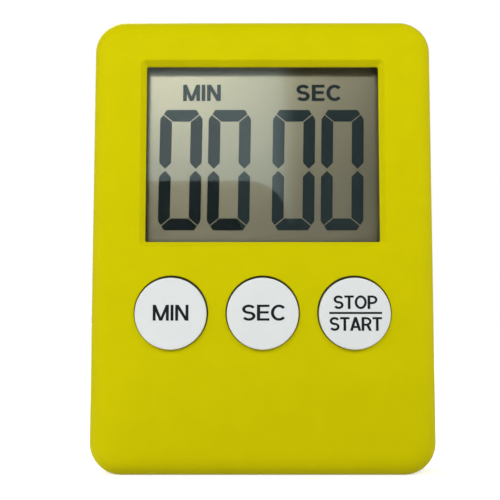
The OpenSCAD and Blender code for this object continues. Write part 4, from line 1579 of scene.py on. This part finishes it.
@dataclass
class Fittings:
    """Stand, battery door, magnets and case screws.

    The groups of sizes, apart from the edges, are:

    - slot: length, width and depth of the door's coin slot
    - mark: half the width, foot, tip and depth of the door's arrow, above its middle
    - lug_inset: how far the lugs stay inside the door's rim, and reach into its hub
    - head_steps: points of a screw's head, inwards from its side and down from its crown
    """

    dresser: Dresser
    stand_half: float = 11.0
    stand_thick: float = 1.8
    stand_edge: Pair = (0.35, 0.25)
    heel: float = 1.5
    heel_round: float = 0.3
    tip_round: float = 2.0
    pin_r: float = 0.6
    pin_root: float = 0.2
    pin_chamfer: float = 0.12
    grip: float = 0.6
    grip_pitch: float = 1.6
    grip_start: float = 5.0
    grip_deep: float = 0.3
    grip_r: float = 0.28
    grip_edge: Pair = (0.1, 0.08)
    door_edge: tuple[float, float, float] = (0.5, 0.25, 0.1)
    door_r: float = 12.0
    door_floor: float = 1.0
    hub_in: float = 1.2
    hub_wall: float = 0.6
    slot: tuple[float, float, float] = (12.0, 1.8, 0.6)
    slot_r: float = 0.4
    slot_edge: Pair = (0.15, 0.12)
    mark: tuple[float, float, float, float] = (0.8, 8.6, 10.2, 0.2)
    lug_half: float = 12.0
    lug_inset: Pair = (0.1, 0.2)
    lug_t: float = 0.5
    magnet_edge: Pair = (0.5, 0.2)
    screw_head: float = 1.7
    head_deep: float = 0.9
    head_round: float = 0.2
    head_steps: tuple[Pair, ...] = ((0.42, 0.0), (0.3, 0.06), (0.0, 0.3))
    cross_arm: float = 0.75
    cross_half: float = 0.2
    cross_deep: float = 0.45
    shank: float = 0.8

    def stand(self) -> Shell:
        """Stand: a plate with broken edges, three finger grooves and two hinge pins.

        Returns:
            The shell.
        """
        box, half = NodeBox.of("stand"), self.stand_half
        line = soften([(0, box.y0), (half, box.y0), (half, box.y1), (-half, box.y1),
                       (-half, box.y0), (0, box.y0)],
                      [0, self.tip_round, self.heel_round, self.heel_round, self.tip_round, 0],
                      steps=8)
        plate = Polygon(line[:-1])
        strip, soft = self.stand_edge
        shell = Shell()
        shell.sweep(plate, soften([(-strip, box.z0), (0, box.z0), (0, box.z1), (-strip, box.z1)],
                                  [0, soft, soft, 0]))
        first = box.y0 + self.grip_start
        mouths = [shell.opening(Slab(-half / 2, half / 2, y, y + self.grip, self.grip_r),
                                self.grip_edge, box.z0, box.z0 + self.grip_deep, blind=True)
                  for y in first + self.grip_pitch * np.arange(3)]
        shell.flat(box.z0, plate.ring(-strip), *mouths)
        shell.flat(box.z1, plate.ring(-strip))
        pin, length, r, cut = Shell(), box.x1 - half, self.pin_r, self.pin_chamfer
        pin.solid(Circle(0, 0, steps=28),
                  np.array([(r, -self.pin_root), (r, length - cut), (r - cut, length)]))
        hinge = (box.y1 - self.heel, (box.z0 + box.z1) / 2)
        for side in (-1, 1):
            turn = np.array([(0, 0, side), (side, 0, 0), (0, 1, 0)], float)
            shell.turned(pin, turn, (side * half, *hinge))
        return shell

    def door(self) -> Shell:
        """Door: a turned section with a coin slot across it and three lugs.

        Returns:
            The shell.
        """
        box = NodeBox.of("battery_door")
        x, y = box.centre
        r, hub, floor = self.door_r, self.door_r - self.hub_in, self.door_floor
        bore, (strip, soft, inner_soft) = hub - self.hub_wall, self.door_edge
        profile = soften([(r - strip, box.z0), (r, box.z0), (r, floor), (hub, floor),
                          (hub, box.z1), (bore, box.z1), (bore, floor)],
                         [0, soft, inner_soft, 0, 0, 0, 0])
        axis = Circle(x, y, steps=96)
        long, wide, deep = self.slot
        coin = Slab(x - long / 2, x + long / 2, y - wide / 2, y + wide / 2, self.slot_r)
        half, base, tip, cut = self.mark
        mark = np.array([(x - half, y + base), (x + half, y + base), (x, y + tip)])
        shell = Shell()
        shell.sweep(axis, profile)
        mouths = [shell.opening(coin, self.slot_edge, box.z0, deep, blind=True),
                  shell.capped(mark, box.z0, box.z0 + cut)]
        shell.flat(box.z0, axis.ring(profile[0, 0]), *mouths)
        shell.flat(floor, axis.ring(bore))
        for turn in (0, 120, 240):
            ends = (turn - self.lug_half, turn + self.lug_half)
            outer = ellipse_arc((x, y), (r - self.lug_inset[0],) * 2, *ends, 8)
            inner = ellipse_arc((x, y), (hub - self.lug_inset[1],) * 2, *ends[::-1], 8)
            shell.solid(Polygon(np.concatenate([outer, inner])),
                        np.array([(0, box.z1 - self.lug_t), (0, box.z1)]))
        return shell

    def magnets(self) -> Shell:
        """Two discs with broken edges.

        Returns:
            The shell.
        """
        box = NodeBox.of("magnets")
        r, (strip, soft) = box.half_height, self.magnet_edge
        edge = soften([(r - strip, box.z0), (r, box.z0), (r, box.z1), (r - strip, box.z1)],
                      [0, soft, soft, 0])
        shell = Shell()
        for x in (box.x0 + r, box.x1 - r):
            shell.solid(Circle(x, box.centre[1]), edge)
        return shell

    def screws(self) -> Shell:
        """Four pan head screws with a cross recess.

        The cross is a plus of twelve points: three of them are turned by four quarters. Its
        walls go half way into the head.

        Returns:
            The shell.
        """
        box = NodeBox.of("case_screws")
        head, z0, seat = self.screw_head, box.z0, box.z0 + self.head_deep
        rim, crown, side = ((head - inset, z0 + rise) for inset, rise in self.head_steps)
        profile = soften([rim, crown, side, (head, seat), (self.shank, seat),
                          (self.shank, box.z1)], [0, 0, self.head_round, 0, 0, 0])
        arm, slit = self.cross_arm * self.screw_head, self.cross_half
        quarter = np.array([(arm, -slit), (arm, slit), (slit, slit)])
        turns = [np.array([(c, s), (-s, c)]) for c, s in ((1, 0), (0, 1), (-1, 0), (0, -1))]
        plus = np.concatenate([quarter @ turn for turn in turns])
        shell = Shell()
        for corner in box.corners(head):
            axis = Circle(*corner, steps=40)
            shell.sweep(axis, profile)
            cross = shell.capped(plus + corner, z0, z0 + self.cross_deep)
            shell.flat(z0, axis.ring(rim[0]), cross)
            shell.flat(box.z1, axis.ring(self.shank))
        return shell

    def build(self) -> None:
        """Makes the four kinds of rear fitting."""
        piece = self.dresser.piece
        piece("stand_flap", self.stand(), Finish.CASE_PLASTIC, Body.STAND, "stand")
        piece("door_disc", self.door(), Finish.CASE_PLASTIC, Body.DOOR, "battery_door")
        piece("magnet_pair", self.magnets(), Finish.NICKEL, Body.CASE, "magnets")
        piece("case_screw_set", self.screws(), Finish.STEEL, Body.CASE, "case_screws")


# ---------------------------------------------------------------- inside


@dataclass
class Insides:
    """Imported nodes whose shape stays: the display's rear, the board, the keypad and the power."""

    dresser: Dresser
    nodes: dict[Finish, tuple[str, ...]] = field(default_factory=lambda: {
        Finish.WHITE_PLASTIC: ("display_frame",),
        Finish.SEAL_RESIN: ("display_seal",),
        Finish.STRIP_RUBBER: ("contact_strip",),
        Finish.BOARD: ("circuit_board",),
        Finish.STEEL: ("board_screws",),
        Finish.BLACK_RESIN: ("chip_blob", "chip_resistors", "boost_coil", "boost_transistor"),
        Finish.CAPACITOR_CERAMIC: ("chip_capacitors",),
        Finish.KEYPAD_RUBBER: ("keypad_sheet",),
        Finish.CARBON_RUBBER: ("min_contact_pill", "sec_contact_pill", "start_stop_contact_pill"),
        Finish.NICKEL: ("coin_cell", "quartz_crystal"),
        Finish.SPRING_BRONZE: ("cell_positive_contact", "cell_negative_contact"),
        Finish.BRASS: ("piezo_disc",),
        Finish.PIEZO_CERAMIC: ("piezo_ceramic",),
        Finish.RED_INSULATION: ("piezo_red_wire",),
        Finish.BLACK_INSULATION: ("piezo_black_wire",),
    })

    def build(self) -> None:
        """Dresses every inner node."""
        for finish, nodes in self.nodes.items():
            for node in nodes:
                self.dresser.dress(node, finish)


# ---------------------------------------------------------------- studio


def place_mesh(name: str, corners: Iterable[Sequence[float]], faces: list[Sequence[int]],
               material: bpy.types.Material) -> bpy.types.Object:
    """Adds a piece of the studio to the scene and stages it.

    Args:
        name: Name of the piece.
        corners: Its points, in millimetres and in the frame's axes.
        faces: Its faces.
        material: Its material.

    Returns:
        The piece.
    """
    mesh = bpy.data.meshes.new(name)
    mesh.from_pydata((np.array(corners) * MM).tolist(), [], faces)
    mesh.materials.append(material)
    piece = bpy.data.objects.new(name, mesh)
    bpy.context.scene.collection.objects.link(piece)
    return piece


@dataclass(frozen=True)
class Lamp:
    """Soft rectangular lamp that faces a point; a lamp that isn't mirrored has no reflection."""

    name: str
    place: tuple[float, float, float]
    target: tuple[float, float, float]
    size: Pair
    power: float
    colour: Colour = (1.0, 1.0, 1.0)
    mirrored: bool = True

    def build(self) -> None:
        """Makes the lamp; places and sizes are in millimetres, in the frame's axes."""
        data = bpy.data.lights.new(self.name, "AREA")
        data.shape = "RECTANGLE"
        data.size, data.size_y = self.size[0] * MM, self.size[1] * MM
        data.energy, data.color = self.power, self.colour
        lamp = bpy.data.objects.new(self.name, data)
        lamp.visible_glossy = self.mirrored
        lamp.location = Vector(self.place) * MM
        way = Vector(self.target) - Vector(self.place)
        lamp.rotation_euler = way.to_track_quat("-Z", "Y").to_euler()
        bpy.context.scene.collection.objects.link(lamp)


COOL: Colour = (0.96, 1.0, 1.0)


@dataclass
class Studio:
    """Camera, lamps, floor and the cards that the lens reflects."""

    camera_place: tuple[float, float, float] = (-0.72, -140.0, 28.32)
    camera_pitch: float = 4.41
    camera_lens: float = 56.28
    camera_shift: float = -0.017
    camera_near: float = 0.005
    ambient: Colour = (0.165, 0.160, 0.155)
    floor_half: float = 1500.0
    floor_colour: Colour = (0.8, 0.8, 0.8)
    floor_span: Pair = (80.0, 500.0)
    floor_glow: Pair = (0.62, 1.0)
    card_distance: float = 400.0
    card_glow: Colour = (0.86, 1.04, 1.06)
    card_fade: Pair = (27.0, 9.0)
    card_corners: tuple[Pair, ...] = ((29, 88), (29, 210), (-92, 210), (-92, 117.3))
    notch: tuple[Pair, Pair] = ((-8, 88.5), (27.9, 28.8))
    flag_distance: float = 460.0
    flag_glow: Colour = (0.03, 0.03, 0.03)
    flag_corners: tuple[Pair, ...] = ((-420, -200), (420, -200), (420, 520), (-420, 520))
    lamps: tuple[Lamp, ...] = (
        Lamp("key_lamp", (-82, -270, 250), (0, 0, 50), (160, 120), 0.12, COOL, mirrored=False),
        Lamp("sheen_lamp", (-82, -402, 233), (0, 0, 56), (120, 44), 0.172),
        Lamp("right_sheen_lamp", (52, -402, 236), (0, 0, 56), (80, 44), 0.032),
        Lamp("left_lamp", (-260, -170, 190), (0, 0, 50), (120, 120), 0.13),
        Lamp("right_lamp", (250, -190, 200), (0, 0, 50), (120, 120), 0.12),
        Lamp("near_left_lamp", (-120, -205, 180), (0, 0, 60), (80, 90), 0.142, COOL,
             mirrored=False),
        Lamp("near_right_lamp", (114, -205, 180), (0, 0, 60), (80, 90), 0.150, COOL,
             mirrored=False),
        Lamp("left_rim_lamp", (-330, -40, 60), (0, 0, 40), (120, 120), 0.09),
        Lamp("right_rim_lamp", (330, -40, 60), (0, 0, 40), (120, 120), 0.12),
        Lamp("back_lamp", (-150, 300, 330), (0, 0, 40), (160, 160), 1.3),
    )

    def camera(self) -> None:
        """Camera that looks along +Y, pitched up a little."""
        data = bpy.data.cameras.new("view_camera")
        data.lens, data.shift_x = self.camera_lens, self.camera_shift
        data.clip_start = self.camera_near
        camera = bpy.data.objects.new("view_camera", data)
        camera.location = Vector(self.camera_place) * MM
        camera.rotation_euler = Euler((math.radians(90 + self.camera_pitch), 0, 0))
        bpy.context.scene.collection.objects.link(camera)
        bpy.context.scene.camera = camera

    def world(self) -> None:
        """White backdrop for what is seen, and a plain soft light for everything else."""
        world = bpy.data.worlds.new("studio_world")
        world.use_nodes = True
        nodes = Nodes(world.node_tree)
        light, seen = (nodes.node("ShaderNodeBackground", {"Color": (*colour, 1)}).outputs[0]
                       for colour in (self.ambient, (1, 1, 1)))
        nodes.node("ShaderNodeOutputWorld", {"Surface": nodes.mix(nodes.seen_rays(), light, seen)})
        bpy.context.scene.world = world

    def floor(self) -> None:
        """Pale floor that is white where no shadow falls.

        It adds its own white for the rays that are seen, and this rises with the distance.
        """
        sheet = Sheet("floor")
        far = sheet.node("ShaderNodeVectorMath", {0: sheet.place}, operation="LENGTH")
        rise = sheet.span(far.outputs["Value"], self.floor_span, self.floor_glow,
                          interpolation_type="SMOOTHSTEP")
        diffuse = sheet.node("ShaderNodeBsdfDiffuse", {"Color": (*self.floor_colour, 1)})
        glow = sheet.glow(strength=sheet.math("MULTIPLY", sheet.seen_rays(), rise))
        both = sheet.node("ShaderNodeAddShader", {0: diffuse.outputs[0], 1: glow})
        signs = np.array([(-1, -1, 0), (1, -1, 0), (1, 1, 0), (-1, 1, 0)])
        place_mesh("floor", signs * self.floor_half, [(0, 1, 2, 3)],
                   sheet.finish(both.outputs[0]))

    def card(self, name: str, outline: np.ndarray, distance: float,
             material: bpy.types.Material) -> None:
        """Upright card that only glossy surfaces see.

        Args:
            name: Name of the card.
            outline: Its outline across x and z.
            distance: How far in front of the timer it stands.
            material: Its material.
        """
        points, triangles = area([outline])
        corners = np.insert(points, 1, -distance, axis=1)
        card = place_mesh(name, corners, triangles.tolist(), material)
        card.visible_camera = card.visible_diffuse = card.visible_shadow = False

    def cards(self) -> None:
        """Dark flag behind the camera and a bright card before it, which has a round notch."""
        dark = Sheet("dark_flag")
        self.card("dark_flag", np.array(self.flag_corners), self.flag_distance,
                  dark.finish(dark.glow(self.flag_glow)))
        bright = Sheet("bright_card")
        fade = bright.span(bright.across("X"), self.card_fade, (0.0, 1.0),
                           interpolation_type="SMOOTHSTEP")
        outline = np.concatenate([self.card_corners, ellipse_arc(*self.notch, 90, 0, 16)])
        self.card("bright_card", outline[::-1], self.card_distance,
                  bright.finish(bright.glow(self.card_glow, fade)))

    def build(self) -> None:
        """Sets up the camera, the light and the surroundings."""
        bpy.context.scene.view_settings.view_transform = "Standard"
        self.camera()
        self.world()
        self.floor()
        self.cards()
        for lamp in self.lamps:
            lamp.build()
        LOG.info("studio: %d lamps", len(self.lamps))


# ---------------------------------------------------------------- everything


def main() -> None:
    """Builds the studio, then the timer's parts in order."""
    logging.basicConfig(level=logging.INFO, format="%(message)s")
    Studio().build()
    dresser = Dresser()
    for part in (Housing, Keys, Display, Fittings, Insides):
        part(dresser).build()


if __name__ == "__main__":
    main()
